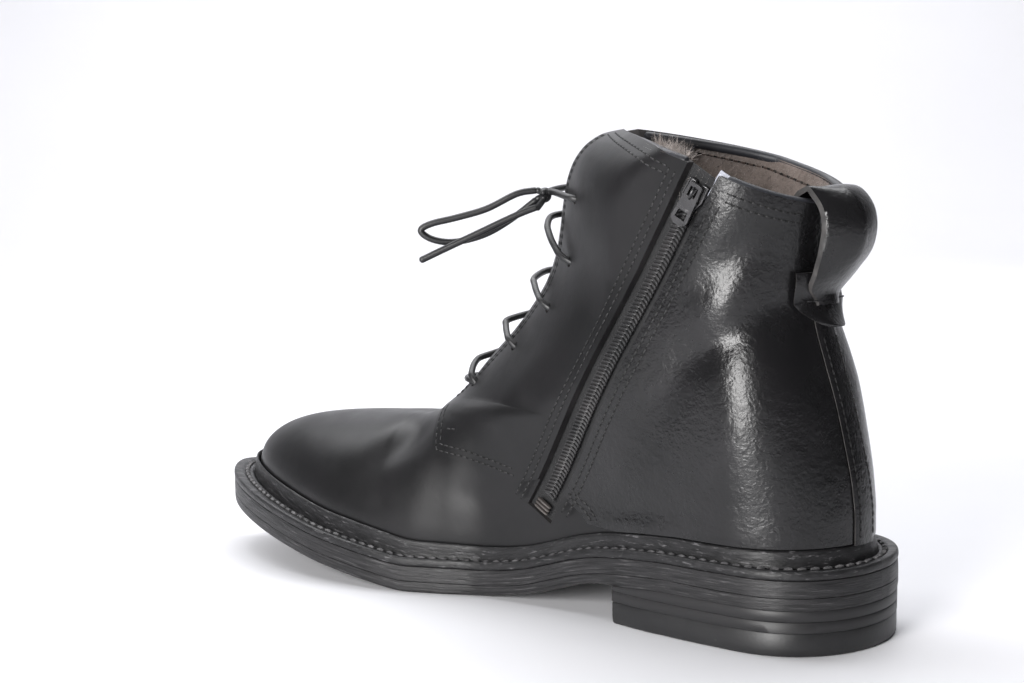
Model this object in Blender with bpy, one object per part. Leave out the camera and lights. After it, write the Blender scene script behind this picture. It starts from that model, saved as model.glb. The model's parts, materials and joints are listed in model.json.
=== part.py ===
"""A right winter boot: stacked sole, hollow leather upper, side zip, pull loop and lace.

+X points to the toe, +Y to the inner side of the foot and +Z up. The origin is on the floor under
the heel. Sizes are in millimetres, and x is measured forward from the back of the sole until the
last step, which moves it to the origin and turns millimetres into metres.
"""
import math

import bmesh
import bpy
import numpy as np

MM = 0.001
CLEAR = 0.3  # between pieces that touch

# Foot sizes
LENGTH = 305.0
HEEL_WIDTH = 72.5
WAIST_WIDTH = 68.5
BALL_WIDTH = 98.8
INSTEP_HEIGHT = 62.0
FRONT_HEIGHT = 170.0
BACK_HEIGHT = 146.0
SHAFT_WIDTH = 68.0
HEEL_CURVE = 34.0
TOE_CURVE = 90.0

# Sole sizes
HEEL_HEIGHT = 15.5
TOE_SPRING = 19.5
OUTSOLE = 4.0
MIDSOLE = 5.4
WELT = 3.2
TOP_PIECE = 8.0
LIFT_JOINT = 11.8
HEEL_LENGTH = 88.5
BREAST_DEPTH = 4.0
INSOLE = 3.0
INSOLE_PLAY = 2.5
WAIST_BEVEL = 4.0
EDGE_ROUND = 0.8
LIP_THICKNESS = 1.8
STITCH_LEDGE = 0.8

# Upper sizes
WALL = 2.0
OVERLAY = 1.2
STRIP = 1.0
FEATHER_TUCK = 2.5
TUCK_HEIGHT = 14.0
HEEL_TUCK = 24.0
TOE_TUCK = 30.0
FOOT_LIFT = 0.5  # the upper's lower edge above the welt's underside
COLLAR_BOW_INNER = 5.5
COLLAR_BOW_OUTER = 2.0
ORIGIN_X = 43.0

# Sole outline: along as a share of the length, centre line as a share of the ball width, half width
SOLE_PLAN = (
    (0.000, 0.000, 0.500 * HEEL_WIDTH),
    (0.131, -0.002, 0.500 * HEEL_WIDTH),
    (0.230, -0.013, 0.493 * HEEL_WIDTH),
    (0.328, -0.043, 0.500 * WAIST_WIDTH),
    (0.410, -0.063, 0.522 * WAIST_WIDTH),
    (0.492, -0.073, 0.392 * BALL_WIDTH),
    (0.541, -0.063, 0.438 * BALL_WIDTH),
    (0.593, -0.043, 0.478 * BALL_WIDTH),
    (0.656, -0.030, 0.500 * BALL_WIDTH),
    (0.721, -0.017, 0.500 * BALL_WIDTH),
    (0.839, 0.008, 0.500 * BALL_WIDTH),
    (1.000, 0.050, 0.500 * BALL_WIDTH),
)
# Underside of the outsole: along, share of the heel height, share of the toe spring
SOLE_LINE = (
    (0.000, 1.00, 0.00),
    (0.200, 1.00, 0.00),
    (0.252, 0.94, 0.00),
    (0.311, 0.80, 0.00),
    (0.354, 0.62, 0.00),
    (0.387, 0.42, 0.00),
    (0.426, 0.20, 0.00),
    (0.466, 0.06, 0.00),
    (0.500, 0.00, 0.00),
    (0.580, 0.00, 0.00),
    (0.639, 0.00, 0.13),
    (0.715, 0.00, 0.33),
    (0.777, 0.00, 0.51),
    (0.843, 0.00, 0.68),
    (0.902, 0.00, 0.82),
    (1.000, 0.00, 1.00),
)
# Sole edge to the upper, and height of the welt's lip above its ledge
EDGE = (
    (0.00, 8.8, 5.0),
    (0.13, 7.6, 5.0),
    (0.25, 6.8, 5.0),
    (0.40, 6.0, 4.8),
    (0.55, 7.4, 5.5),
    (0.65, 8.5, 6.5),
    (0.80, 10.0, 6.5),
    (1.00, 12.5, 6.0),
)
# Front ridge: along, share of the instep height, share of the shaft above it
RIDGE = (
    (0.9590, 0.465, 0.000),
    (0.9570, 0.560, 0.000),
    (0.9460, 0.665, 0.000),
    (0.9180, 0.780, 0.000),
    (0.8800, 0.865, 0.000),
    (0.8350, 0.920, 0.000),
    (0.7830, 0.952, 0.000),
    (0.7210, 0.976, 0.000),
    (0.6460, 1.000, 0.000),
    (0.6160, 1.000, 0.024),
    (0.5900, 1.000, 0.066),
    (0.5705, 1.000, 0.123),
    (0.5380, 1.000, 0.226),
    (0.5070, 1.000, 0.316),
    (0.4800, 1.000, 0.401),
    (0.4540, 1.000, 0.500),
    (0.4390, 1.000, 0.594),
    (0.4310, 1.000, 0.685),
    (0.4250, 1.000, 0.775),
    (0.4175, 1.000, 0.855),
    (0.4060, 1.000, 0.915),
    (0.3880, 1.000, 0.962),
    (0.3650, 1.000, 0.990),
    (0.3380, 1.000, 1.000),
)
# Back seam: height as a share of the back height, along
BACK = (
    (0.178, 0.0290),
    (0.233, 0.0270),
    (0.288, 0.0270),
    (0.356, 0.0300),
    (0.452, 0.0395),
    (0.555, 0.0520),
    (0.637, 0.0645),
    (0.726, 0.0770),
    (0.788, 0.0815),
    (0.842, 0.0805),
    (0.925, 0.0740),
    (1.000, 0.0680),
)
# Shaft: height as a share of the front height, half width as a share of the shaft width
SHAFT = (
    (0.25, 0.500),
    (0.48, 0.478),
    (0.60, 0.463),
    (0.70, 0.456),
    (0.80, 0.470),
    (0.90, 0.490),
    (1.00, 0.500),
)
# How far the top of a section rounds off: along at the ridge, distance from the ridge
ROUND_OFF = (
    (0.340, 44.0),
    (0.410, 46.0),
    (0.441, 50.0),
    (0.498, 58.0),
    (0.567, 66.0),
    (0.650, 48.0),
    (0.800, 42.0),
    (1.000, 42.0),
)

# Panels and zip, in side view: x and z
DERBY_EDGE = ((178.5, 66.0), (175.0, 61.0), (173.0, 56.0), (170.6, 51.5), (158.5, 50.0), (144.5, 47.0), (133.2, 44.4))
REAR_EDGE = ((101.4, 33.0), (104.0, 36.0), (109.6, 39.5), (112.5, 43.0))
OUTER_EDGE = ((110.0, 36.0), (122.0, 41.0))
ZIP_FOOT = (124.5, 34.0)
ZIP_TOP = (46.5, 158.5)
ZIP_SLOT = 12.0
ZIP_CHAIN = 6.0
ZIP_TAPE = 0.8
ZIP_TAPE_WIDTH = 24.0
SLIDER_AT = 0.93
SLIDER_LENGTH = 9.5
SLIDER_WIDTH = 8.6
SLIDER_UNDER = 0.0
SLIDER_TOP = 1.7
BRIDGE = 2.4
PULL_AXIS_UP = 3.7
PULL_LENGTH = 15.0
PULL_WIDTH = 6.4
PULL_THICK = 1.3
LIP_PLAY = 0.6
BACK_STRIP = 11.0
BACK_STRIP_SEAM = 0.4
BACK_PLAY = 0.3
THROAT_X = 181.0
THROAT_GAP = 10.0
THROAT_CENTRE = 0.8
TONGUE = 1.6
TONGUE_START = 9
TONGUE_COLUMNS = 3
EYELET = 4.0
HOLE_SIDES = 8
# Lace holes: share of the way up the facing, distance from the front ridge
EYELETS = (
    (0.062, 15.5),
    (0.215, 20.5),
    (0.385, 24.0),
    (0.555, 25.0),
    (0.738, 25.0),
)

# Pull loop and lace
LOOP_WIDTH = 22.0
LOOP_THICK = 1.8
LOOP_REACH = 12.5
LOOP_CUP = 1.8
LOOP_TAPER = 0.55
PATCH_LOW = 105.0
PATCH_HIGH = 124.0
PATCH_WIDTH = 27.0
LACE = 2.5
LACE_RISE = 1.2
KNOT = 5.0
KNOT_ASIDE = 9.0
KNOT_BELOW = 0.2
BOW_TURN = math.radians(40.0)
BOW_END_ASIDE = 3.2
# The bow in its own upright plane: out from the knot, and up
BOW_LOOP = (
    (3.5, 1.2),
    (11.0, 0.0),
    (22.0, -5.2),
    (33.0, -8.2),
    (42.0, -10.2),
    (46.0, -12.6),
    (42.5, -15.6),
    (36.0, -17.0),
    (29.0, -16.2),
    (21.0, -13.6),
    (12.5, -8.6),
    (5.5, -3.4),
    (3.6, -1.9),
)
BOW_END = (
    (3.4, -4.6),
    (9.0, -6.6),
    (16.0, -9.6),
    (27.0, -14.6),
    (36.0, -18.6),
    (46.5, -23.4),
)

# Sections of the upper: upright ones over the foot, a fan at the instep, level ones up the shaft
TOE_SECTIONS = 10
SHAFT_SECTIONS = 13
HALF_COLUMNS = 10
FAN_START = 200.0
FAN_END = 180.0
SECTION_ARCH = 22.0
NORMAL_PASSES = 3


def smooth(value):
    value = np.clip(value, 0.0, 1.0)
    return value * value * (3.0 - 2.0 * value)


def curve(rows, column, at):
    """A smooth curve through a table's rows that never overshoots them."""
    knots = np.array([row[0] for row in rows], float)
    values = np.array([row[column] for row in rows], float)
    if knots[0] > knots[-1]:
        knots, values = knots[::-1], values[::-1]
    step = np.diff(knots)
    slope = np.diff(values) / step
    inner = np.where(
        slope[:-1] * slope[1:] > 0,
        2.0 * slope[:-1] * slope[1:] / np.where(slope[:-1] + slope[1:] == 0, 1, slope[:-1] + slope[1:]),
        0.0,
    )
    tangent = np.concatenate([slope[:1], inner, slope[-1:]])
    at = np.clip(np.asarray(at, float), knots[0], knots[-1])
    i = np.clip(np.searchsorted(knots, at, side="right") - 1, 0, len(knots) - 2)
    t = (at - knots[i]) / step[i]
    return (
        (1 + 2 * t) * (1 - t) ** 2 * values[i]
        + t * (1 - t) ** 2 * step[i] * tangent[i]
        + t * t * (3 - 2 * t) * values[i + 1]
        + t * t * (t - 1) * step[i] * tangent[i + 1]
    )


def edge_width(x):
    return curve(EDGE, 1, x / LENGTH)


def lip_height(x):
    return curve(EDGE, 2, x / LENGTH)


def outsole_under(x):
    share = x / LENGTH
    return HEEL_HEIGHT * curve(SOLE_LINE, 1, share) + TOE_SPRING * curve(SOLE_LINE, 2, share)


def upper_inset(x, height):
    """From the sole's edge to the upper's face, at a height above the upper's lower edge."""
    rise = np.clip(height / TUCK_HEIGHT, 0.0, 1.0)
    ends = smooth(x / HEEL_TUCK) * smooth((LENGTH - x) / TOE_TUCK)
    return edge_width(x) - FEATHER_TUCK * ends * (1.0 - (1.0 - rise) ** 2)


def midsole_under(x):
    return outsole_under(x) + OUTSOLE + CLEAR


def welt_under(x):
    return midsole_under(x) + MIDSOLE + CLEAR


def toe_round(x, end):
    """How the outline narrows from the ball to the toe tip at end."""
    start = LENGTH - TOE_CURVE
    part = np.clip((x - start) / (end - start), 0.0, 1.0)
    return (1.0 - part**1.6) ** 0.625


def heel_round(x, start):
    part = np.clip((HEEL_CURVE + start - x) / HEEL_CURVE, 0.0, 1.0)
    return np.sqrt(1.0 - part**2.3)


def plan_centre(x):
    return curve(SOLE_PLAN, 1, x / LENGTH) * BALL_WIDTH


def plan_half(x, inset, back, front):
    width = curve(SOLE_PLAN, 2, x / LENGTH) - inset
    return width * heel_round(x, back) * toe_round(x, LENGTH - front)


def stations():
    """Shares of the length, closer together round the heel and the toe."""
    heel = [0.0, 0.005, 0.018, 0.038, 0.065, 0.1]
    middle = [0.15, 0.2, 0.25, 0.29, 0.33, 0.37, 0.41, 0.455, 0.5, 0.54, 0.58, 0.62, 0.665, 0.71, 0.755]
    toe = [0.8, 0.84, 0.878, 0.912, 0.942, 0.966, 0.984, 0.996, 1.0]
    return np.array(heel + middle + toe)


def side_points(inset, height, shares):
    """Inner side and outer side points of one closed outline, from heel to toe."""
    along = shares * LENGTH
    insets = inset(along) if callable(inset) else np.full(len(along), float(inset))
    back, front = insets[0], insets[-1]
    x = back + shares * (LENGTH - back - front)
    half = plan_half(x, insets, back, front)
    centre = plan_centre(x)
    z = height(x) + np.zeros(len(x))
    inner = np.stack([x, centre + half, z], axis=1)
    outer = np.stack([x, centre - half, z], axis=1)
    return inner, outer


def loop_of(inset, height):
    inner, outer = side_points(inset, height, stations())
    return np.concatenate([inner, outer[-2:0:-1]])


def make(name, points, faces, colour, roughness, metallic=0.0):
    """One object from points in millimetres and faces, welded and with its faces turned outward."""
    bm = bmesh.new()
    verts = [bm.verts.new(((x - ORIGIN_X) * MM, y * MM, z * MM)) for x, y, z in points]
    for face in faces:
        corners = list(dict.fromkeys(face))
        if len(corners) > 2:
            bm.faces.new([verts[k] for k in corners])
    bmesh.ops.remove_doubles(bm, verts=bm.verts, dist=1e-6)
    bmesh.ops.dissolve_degenerate(bm, edges=bm.edges, dist=1e-6)
    bmesh.ops.recalc_face_normals(bm, faces=bm.faces)
    if bm.calc_volume(signed=True) < 0:
        bmesh.ops.reverse_faces(bm, faces=bm.faces)
    mesh = bpy.data.meshes.new(name)
    bm.to_mesh(mesh)
    bm.free()
    mesh.shade_smooth()
    mesh.set_sharp_from_angle(angle=math.radians(40))
    obj = bpy.data.objects.new(name, mesh)
    bpy.context.scene.collection.objects.link(obj)
    obj.data.materials.append(material(name, colour, roughness, metallic))
    return obj


def material(name, colour, roughness, metallic):
    made = bpy.data.materials.new(name)
    made.use_nodes = True
    shader = made.node_tree.nodes["Principled BSDF"]
    shader.inputs["Base Color"].default_value = (*colour, 1.0)
    shader.inputs["Roughness"].default_value = roughness
    shader.inputs["Metallic"].default_value = metallic
    made.diffuse_color = (*colour, 1.0)
    return made


def stack(name, grids, colour, roughness):
    """A plate whose rims are the borders of the grids, closed by the first and the last of them."""
    rows, columns = grids[0].shape[:2]
    cells = [(i, k) for i in range(rows - 1) for k in range(columns - 1)]
    border = [(i, 0) for i in range(rows)]
    border += [(rows - 1, k) for k in range(1, columns)]
    border += [(i, columns - 1) for i in range(rows - 2, -1, -1)]
    border += [(0, k) for k in range(columns - 2, 0, -1)]
    points = np.concatenate([grid.reshape(-1, 3) for grid in grids])
    size = rows * columns

    def at(level, cell):
        return level * size + cell[0] * columns + cell[1]

    faces = []
    for level in (0, len(grids) - 1):
        for i, k in cells:
            faces.append([at(level, c) for c in ((i, k), (i + 1, k), (i + 1, k + 1), (i, k + 1))])
    for level in range(len(grids) - 1):
        for here, there in zip(border, border[1:] + border[:1]):
            faces.append([at(level, here), at(level, there), at(level + 1, there), at(level + 1, here)])
    return make(name, points, merged(points, faces), colour, roughness)


def merged(points, faces):
    """The faces with corners that share a place made one."""
    first = {}
    index = [first.setdefault(tuple(np.round(point, 4)), k) for k, point in enumerate(points)]
    seen = set()
    kept = []
    for face in faces:
        corners = list(dict.fromkeys(index[k] for k in face))
        key = frozenset(corners)
        if len(corners) > 2 and key not in seen:
            seen.add(key)
            kept.append(corners)
    return kept


def ring(name, loops, colour, roughness):
    """A closed band whose cross-section goes once round through the loops."""
    count = len(loops[0])
    points = np.concatenate(loops)
    faces = []
    for k in range(len(loops)):
        after = (k + 1) % len(loops)
        for i in range(count):
            j = (i + 1) % count
            faces.append([k * count + i, k * count + j, after * count + j, after * count + i])
    return make(name, points, faces, colour, roughness)


def plate(inset, height, shares=None):
    inner, outer = side_points(inset, height, stations() if shares is None else shares)
    return np.stack([inner, outer], axis=1)


def bevel_at(x):
    """The waist is cut back under the arch."""
    return WAIST_BEVEL * smooth((x - 82.0) / 22.0) * smooth((168.0 - x) / 40.0)


def build_sole():
    dark = (0.020, 0.020, 0.021)
    stack(
        "outsole",
        [
            plate(lambda x: EDGE_ROUND + bevel_at(x), outsole_under),
            plate(lambda x: 0.25 * EDGE_ROUND + 0.3 * bevel_at(x), lambda x: outsole_under(x) + 0.3 * OUTSOLE),
            plate(0.0, lambda x: outsole_under(x) + OUTSOLE),
        ],
        dark,
        0.55,
    )
    stack(
        "midsole",
        [
            plate(0.2, midsole_under),
            plate(0.0, lambda x: midsole_under(x) + 0.5 * MIDSOLE),
            plate(0.3, lambda x: midsole_under(x) + MIDSOLE),
        ],
        dark,
        0.55,
    )
    ledge_top = lambda x: welt_under(x) + WELT
    room = lambda x: CLEAR * (2.0 - 0.6 * smooth(x / HEEL_CURVE) * smooth((LENGTH - x) / TOE_TUCK))
    beside = lambda share: (lambda x: upper_inset(x, WELT + share * lip_height(x) - FOOT_LIFT) - room(x))
    raised = lambda share: (lambda x: ledge_top(x) + share * lip_height(x))
    profile = (
        (lambda x: 0.5 + 0.0 * x, welt_under),
        (lambda x: 0.0 * x, lambda x: welt_under(x) + 0.4 * WELT),
        (lambda x: EDGE_ROUND + 0.0 * x, ledge_top),
        (lambda x: beside(0.35)(x) - LIP_THICKNESS - STITCH_LEDGE, lambda x: ledge_top(x) - STITCH_LEDGE),
        (lambda x: beside(0.35)(x) - LIP_THICKNESS, raised(0.35)),
        (lambda x: beside(1.0)(x) - 0.55 * LIP_THICKNESS, raised(1.0)),
        (beside(0.85), raised(0.85)),
        (beside(0.35), raised(0.35)),
        (lambda x: edge_width(x) - room(x), welt_under),
    )
    ring("welt", [loop_of(inset, height) for inset, height in profile], dark, 0.5)
    build_heel(dark)
    inside = lambda x: edge_width(x) + WALL + INSOLE_PLAY
    stack(
        "insole",
        [
            plate(inside, welt_under),
            plate(inside, lambda x: welt_under(x) + INSOLE),
        ],
        (0.19, 0.15, 0.12),
        0.9,
    )


def heel_grid(inset, height):
    """The heel's outline as rows across it, the last ones hollowed at the breast."""
    across = np.linspace(-1.0, 1.0, 7)
    shares = np.array([0.0, 0.006, 0.022, 0.05, 0.085, 0.135, 0.2, 0.25]) / 0.25
    reach = HEEL_LENGTH - inset
    rows = []
    for share in shares:
        x = inset + share * share * (3 - share) / 2 * (reach - inset) if share < 1 else reach
        half = plan_half(np.array([x]), inset, inset, 0.0)[0]
        centre = plan_centre(np.array([x]))[0]
        hollow = BREAST_DEPTH * (1 - across**2) * smooth((share - 0.3) / 0.7)
        xs = x - hollow
        rows.append(np.stack([xs, centre - half * across, height(xs) + np.zeros(7)], axis=1))
    return np.array(rows)


def build_heel(dark):
    level = lambda value: (lambda x: value + 0.0 * x)
    seat = lambda x: outsole_under(x) - CLEAR
    stack(
        "top_piece",
        [heel_grid(1.2, level(0.0)), heel_grid(0.5, level(1.2)), heel_grid(0.5, level(TOP_PIECE))],
        (0.015, 0.015, 0.016),
        0.45,
    )
    stack(
        "heel_lift_lower",
        [heel_grid(0.5, level(TOP_PIECE + CLEAR)), heel_grid(0.5, level(LIFT_JOINT - CLEAR))],
        dark,
        0.6,
    )
    stack("heel_lift_upper", [heel_grid(0.5, level(LIFT_JOINT)), heel_grid(0.5, seat)], dark, 0.6)


def ridge_height(x):
    """Height of the front ridge at a place along it, for the part ahead of the crook."""
    share = x / LENGTH
    low = curve(RIDGE, 1, share)
    high = curve(RIDGE, 2, share)
    return INSTEP_HEIGHT * low + (FRONT_HEIGHT - INSTEP_HEIGHT) * high


def back_line(z):
    return LENGTH * curve(BACK, 1, z / BACK_HEIGHT)


def upper_foot(x):
    """Height of the upper's lower edge, on the midsole."""
    return welt_under(x) + FOOT_LIFT


def fan_feet():
    """Where the sections that turn about the instep crook stand on the sole, going back to the heel."""
    heel_x = float(back_line(BACK_HEIGHT * BACK[0][0]))
    between = [x for x in stations() * LENGTH if heel_x + 2.0 < x < FAN_START - 5.0]
    return [FAN_START] + between[::-1] + [heel_x]


def base_and_ridge():
    """The two ends of each section in side view, from the toe to the collar."""
    tip = LENGTH * RIDGE[0][0]
    turn = 0.5 * math.pi * np.linspace(0.0, 1.0, TOE_SECTIONS + 1) ** 0.8
    toe_x = FAN_START + (tip - FAN_START) * np.cos(turn)
    toe_x = toe_x[:-1]
    pairs = []
    for n, x in enumerate(toe_x):
        low = float(upper_foot(x))
        pairs.append((x, low, x, float(ridge_height(x)) if n else low, 0.0))
    heel_x = float(back_line(BACK_HEIGHT * BACK[0][0]))
    fan_base = fan_feet()
    for k, x in enumerate(fan_base):
        top = FAN_START + (FAN_END - FAN_START) * k / (len(fan_base) - 1)
        arch = SECTION_ARCH * smooth((FAN_START - x) / (FAN_START - heel_x))
        pairs.append((x, float(upper_foot(x)), top, float(ridge_height(top)), float(arch)))
    low_z = float(upper_foot(heel_x))
    front_x, front_z = shaft_ridge(np.linspace(0.0, 1.0, SHAFT_SECTIONS + 1)[1:])
    for step, x, top in zip(np.linspace(0.0, 1.0, SHAFT_SECTIONS + 1)[1:], front_x, front_z):
        z = low_z + step * (BACK_HEIGHT - low_z)
        arch = SECTION_ARCH * (1.0 - smooth(step / 0.75))
        pairs.append((float(back_line(z)), z, x, top, float(arch)))
    return pairs


def shaft_ridge(shares):
    """Even steps along the front ridge from the crook to the top of the collar."""
    x = np.linspace(FAN_END, LENGTH * RIDGE[-1][0], 200)
    z = ridge_height(x)
    walked = np.concatenate([[0.0], np.cumsum(np.hypot(np.diff(x), np.diff(z)))])
    at = shares * walked[-1]
    return np.interp(at, walked, x), np.interp(at, walked, z)


def half_width(x, z, from_ridge, round_off):
    """Half the width of the upper, and how much of it is left near the ridge."""
    tip = LENGTH * (1.0 - RIDGE[0][0])
    foot = (curve(SOLE_PLAN, 2, x / LENGTH) - upper_inset(x, z - upper_foot(x))) * toe_round(x, LENGTH - tip)
    shaft = SHAFT_WIDTH * curve(SHAFT, 1, z / FRONT_HEIGHT)
    leg = smooth((z - 40.0) / 60.0) * smooth((215.0 - x) / 40.0)
    width = foot * (1.0 - leg) + shaft * leg
    front = np.clip(1.0 - from_ridge / round_off, 0.0, 1.0)
    power = 2.2 - 0.95 * leg
    top = (1.0 - front**power) ** (1.0 / power)
    depth = HEEL_CURVE - 6.0 * smooth((z - 40.0) / 60.0)
    behind = np.clip(1.0 - (x - back_line(np.minimum(z, BACK_HEIGHT))) / depth, 0.0, 1.0)
    heel = np.sqrt(np.clip(1.0 - behind**2.3, 0.0, 1.0))
    return width * top * heel, top, leg


def upper_grid():
    """Points of the upper's face: one row a section, from the inner base over the ridge to the outer base."""
    pairs = base_and_ridge()
    rows = []
    fan = len(fan_feet()) - 1
    for n, (bx, bz, rx, rz, arch) in enumerate(pairs):
        level = smooth((n - TOE_SECTIONS - 0.4 * fan) / fan)
        t = np.arange(HALF_COLUMNS + 1) / HALF_COLUMNS
        v = (1 - level) * np.sin(0.5 * math.pi * t) + level * 0.5 * (1 - np.cos(math.pi * t))
        run = max(math.hypot(rx - bx, rz - bz), 0.001)
        hump = 4.0 * v**0.75 * (1.0 - v**0.75) * arch / run
        x = bx + (rx - bx) * v - (rz - bz) * hump
        z = bz + (rz - bz) * v + (rx - bx) * hump
        high = smooth((n - TOE_SECTIONS - fan) / SHAFT_SECTIONS)
        bow = high * np.sin(math.pi * v)
        limit = min(float(curve(ROUND_OFF, 1, rx / LENGTH)), 0.95 * run)
        width, top, leg = half_width(x, z, (1 - v) * run, limit)
        centre_foot = plan_centre(x) * (1 - leg)
        centre_ridge = 0.016 * LENGTH * smooth((x / LENGTH - 0.35) / 0.6)
        centre = centre_foot * top + centre_ridge * (1 - top)
        inner = np.stack([x, centre + width, z + COLLAR_BOW_INNER * bow], axis=1)
        outer = np.stack([x, centre - width, z + COLLAR_BOW_OUTER * bow], axis=1)
        rows.append(np.concatenate([inner, outer[-2::-1]]))
    rows[0][:] = rows[0][HALF_COLUMNS]
    return np.array(rows)


def unit(vectors):
    size = np.linalg.norm(vectors, axis=-1, keepdims=True)
    return vectors / np.where(size == 0, 1, size)


def normals_of(grid):
    """Outward directions at the points of the upper's grid."""
    rows, columns = grid.shape[:2]
    along = np.gradient(grid, axis=0)
    across = np.zeros_like(grid)
    across[:, 1:-1] = grid[:, 2:] - grid[:, :-2]
    across[:, 0] = grid[:, 1] - grid[:, 0]
    across[:, -1] = grid[:, -1] - grid[:, -2]
    joined = TOE_SECTIONS + len(fan_feet()) - 1
    for i in range(joined, rows):
        across[i, 0] = grid[i, 1] - grid[i, -2]
        across[i, -1] = across[i, 0]
    normal = unit(np.cross(across, along))
    if normal[rows // 2, columns // 4, 1] < 0:
        normal = -normal
    normal[0] = (1.0, 0.0, 0.0)
    for _ in range(NORMAL_PASSES):
        evened = normal.copy()
        evened[1:-1] += 0.5 * (normal[:-2] + normal[2:])
        evened[1:-1, 1:-1] += 0.5 * (normal[1:-1, :-2] + normal[1:-1, 2:])
        evened[joined:-1, 0] += 0.5 * (normal[joined:-1, 1] + normal[joined:-1, -2])
        evened[joined:-1, -1] = evened[joined:-1, 0]
        normal = unit(evened)
    return normal


def shell(name, outer, inner, colour, roughness):
    """A sheet with a thickness: two like grids, joined round every open edge."""
    rows, columns = outer.shape[:2]
    flat_outer = outer.reshape(-1, 3)
    flat_inner = inner.reshape(-1, 3)
    first = {}
    index = [first.setdefault(tuple(np.round(point, 3)), k) for k, point in enumerate(flat_outer)]
    count = len(flat_outer)
    sheet = []
    for i in range(rows - 1):
        for k in range(columns - 1):
            cell = [i * columns + k, (i + 1) * columns + k, (i + 1) * columns + k + 1, i * columns + k + 1]
            span = [np.linalg.norm(flat_outer[cell[a]] - flat_outer[cell[a + 2]]) for a in (0, 1)]
            a, b, c, d = cell if span[0] <= span[1] else cell[1:] + cell[:1]
            for triangle in ((a, b, c), (a, c, d)):
                corners = list(dict.fromkeys(index[corner] for corner in triangle))
                if len(corners) > 2:
                    sheet.append(corners)
    edges = {}
    for corners in sheet:
        for here, there in zip(corners, corners[1:] + corners[:1]):
            edges[(here, there)] = edges.get((here, there), 0) + 1
    faces = list(sheet) + [[k + count for k in reversed(corners)] for corners in sheet]
    for here, there in edges:
        if (there, here) not in edges:
            faces.append([there, here, here + count, there + count])
    points = np.concatenate([flat_outer, flat_inner])
    return make(name, points, faces, colour, roughness)


def prism(name, outline, low, high):
    """A cutter: a side-view outline, x and z, extruded across from low to high."""
    count = len(outline)
    points = [(x, low, z) for x, z in outline] + [(x, high, z) for x, z in outline]
    faces = [list(range(count)), list(range(2 * count - 1, count - 1, -1))]
    for k in range(count):
        after = (k + 1) % count
        faces.append([k, after, after + count, k + count])
    return cutter(make(name, points, faces, (0.5, 0.5, 0.5), 0.5))


def cutter(obj):
    obj.hide_render = True
    obj.display_type = "WIRE"
    return obj


def boolean(obj, other, operation):
    modifier = obj.modifiers.new(other.name, "BOOLEAN")
    modifier.object = other
    modifier.operation = operation
    modifier.solver = "EXACT"


def zip_point(share):
    """A place on the zip's line in side view, from its foot to the collar."""
    return (
        ZIP_FOOT[0] + share * (ZIP_TOP[0] - ZIP_FOOT[0]),
        ZIP_FOOT[1] + share * (ZIP_TOP[1] - ZIP_FOOT[1]),
    )


def zip_band(low, high, half):
    """A strip along the zip's line in side view."""
    run = math.hypot(ZIP_TOP[0] - ZIP_FOOT[0], ZIP_TOP[1] - ZIP_FOOT[1])
    side = ((ZIP_TOP[1] - ZIP_FOOT[1]) / run * half, (ZIP_FOOT[0] - ZIP_TOP[0]) / run * half)
    (x0, z0), (x1, z1) = zip_point(low), zip_point(high)
    return [
        (x0 + side[0], z0 + side[1]),
        (x1 + side[0], z1 + side[1]),
        (x1 - side[0], z1 - side[1]),
        (x0 - side[0], z0 - side[1]),
    ]


def lip_line(xs):
    """The welt lip's top, with a clearance, in side view."""
    return [(x, float(welt_under(x) + WELT + lip_height(x)) + LIP_PLAY) for x in xs]


def quarter_front_outline():
    front, back = zip_band(0.0, 1.3, 0.5 * ZIP_SLOT)[:2]
    foot = zip_point(0.075)
    edge_foot = (foot[0] + front[0] - ZIP_FOOT[0], foot[1] + front[1] - ZIP_FOOT[1])
    return [*DERBY_EDGE, edge_foot, back, (back[0] + 160.0, back[1])]


def quarter_rear_outline():
    rear = zip_band(0.115, 1.3, 0.5 * ZIP_SLOT)
    low = lip_line([14.0, 30.0, 45.0, 60.0, 75.0, 88.0])
    return [(-20.0, low[0][1]), *low, *REAR_EDGE, rear[3], rear[2], (-20.0, rear[2][1])]


def quarter_outer_outline():
    low = lip_line([14.0, 30.0, 45.0, 60.0, 75.0, 88.0, 100.0])
    return [(-20.0, low[0][1]), *low, *OUTER_EDGE, *DERBY_EDGE[::-1], (300.0, 90.0), (300.0, 230.0), (-20.0, 230.0)]


def throat_outline():
    return [
        (THROAT_X, INSTEP_HEIGHT - 8.0),
        (THROAT_X, 230.0),
        (60.0, 230.0),
        (78.0, 165.0),
        (102.0, 120.0),
        (138.0, 76.0),
        (158.0, INSTEP_HEIGHT - 8.0),
    ]


class Surface:
    """The upper's face, sampled by section and by distance from the front ridge."""

    def __init__(self, grid, normals):
        self.grid = grid
        self.normals = normals

    def at(self, row, distance, lift=0.0):
        """A point and its outward direction: a row number, distance from the ridge, inner side positive."""
        low = int(math.floor(row))
        part = row - low
        found = []
        for n in (low, min(low + 1, len(self.grid) - 1)):
            found.append(self.along(n, distance))
        point = found[0][0] * (1 - part) + found[1][0] * part
        normal = found[0][1] * (1 - part) + found[1][1] * part
        normal = normal / np.linalg.norm(normal)
        return point + lift * normal, normal

    def along(self, n, distance):
        middle = HALF_COLUMNS
        columns = range(middle, -1, -1) if distance >= 0 else range(middle, 2 * middle + 1)
        points = self.grid[n, list(columns)]
        normals = self.normals[n, list(columns)]
        walked = np.concatenate([[0.0], np.cumsum(np.linalg.norm(np.diff(points, axis=0), axis=1))])
        at = abs(distance)
        point = np.array([np.interp(at, walked, points[:, c]) for c in range(3)])
        normal = np.array([np.interp(at, walked, normals[:, c]) for c in range(3)])
        return point, normal / np.linalg.norm(normal)


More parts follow.
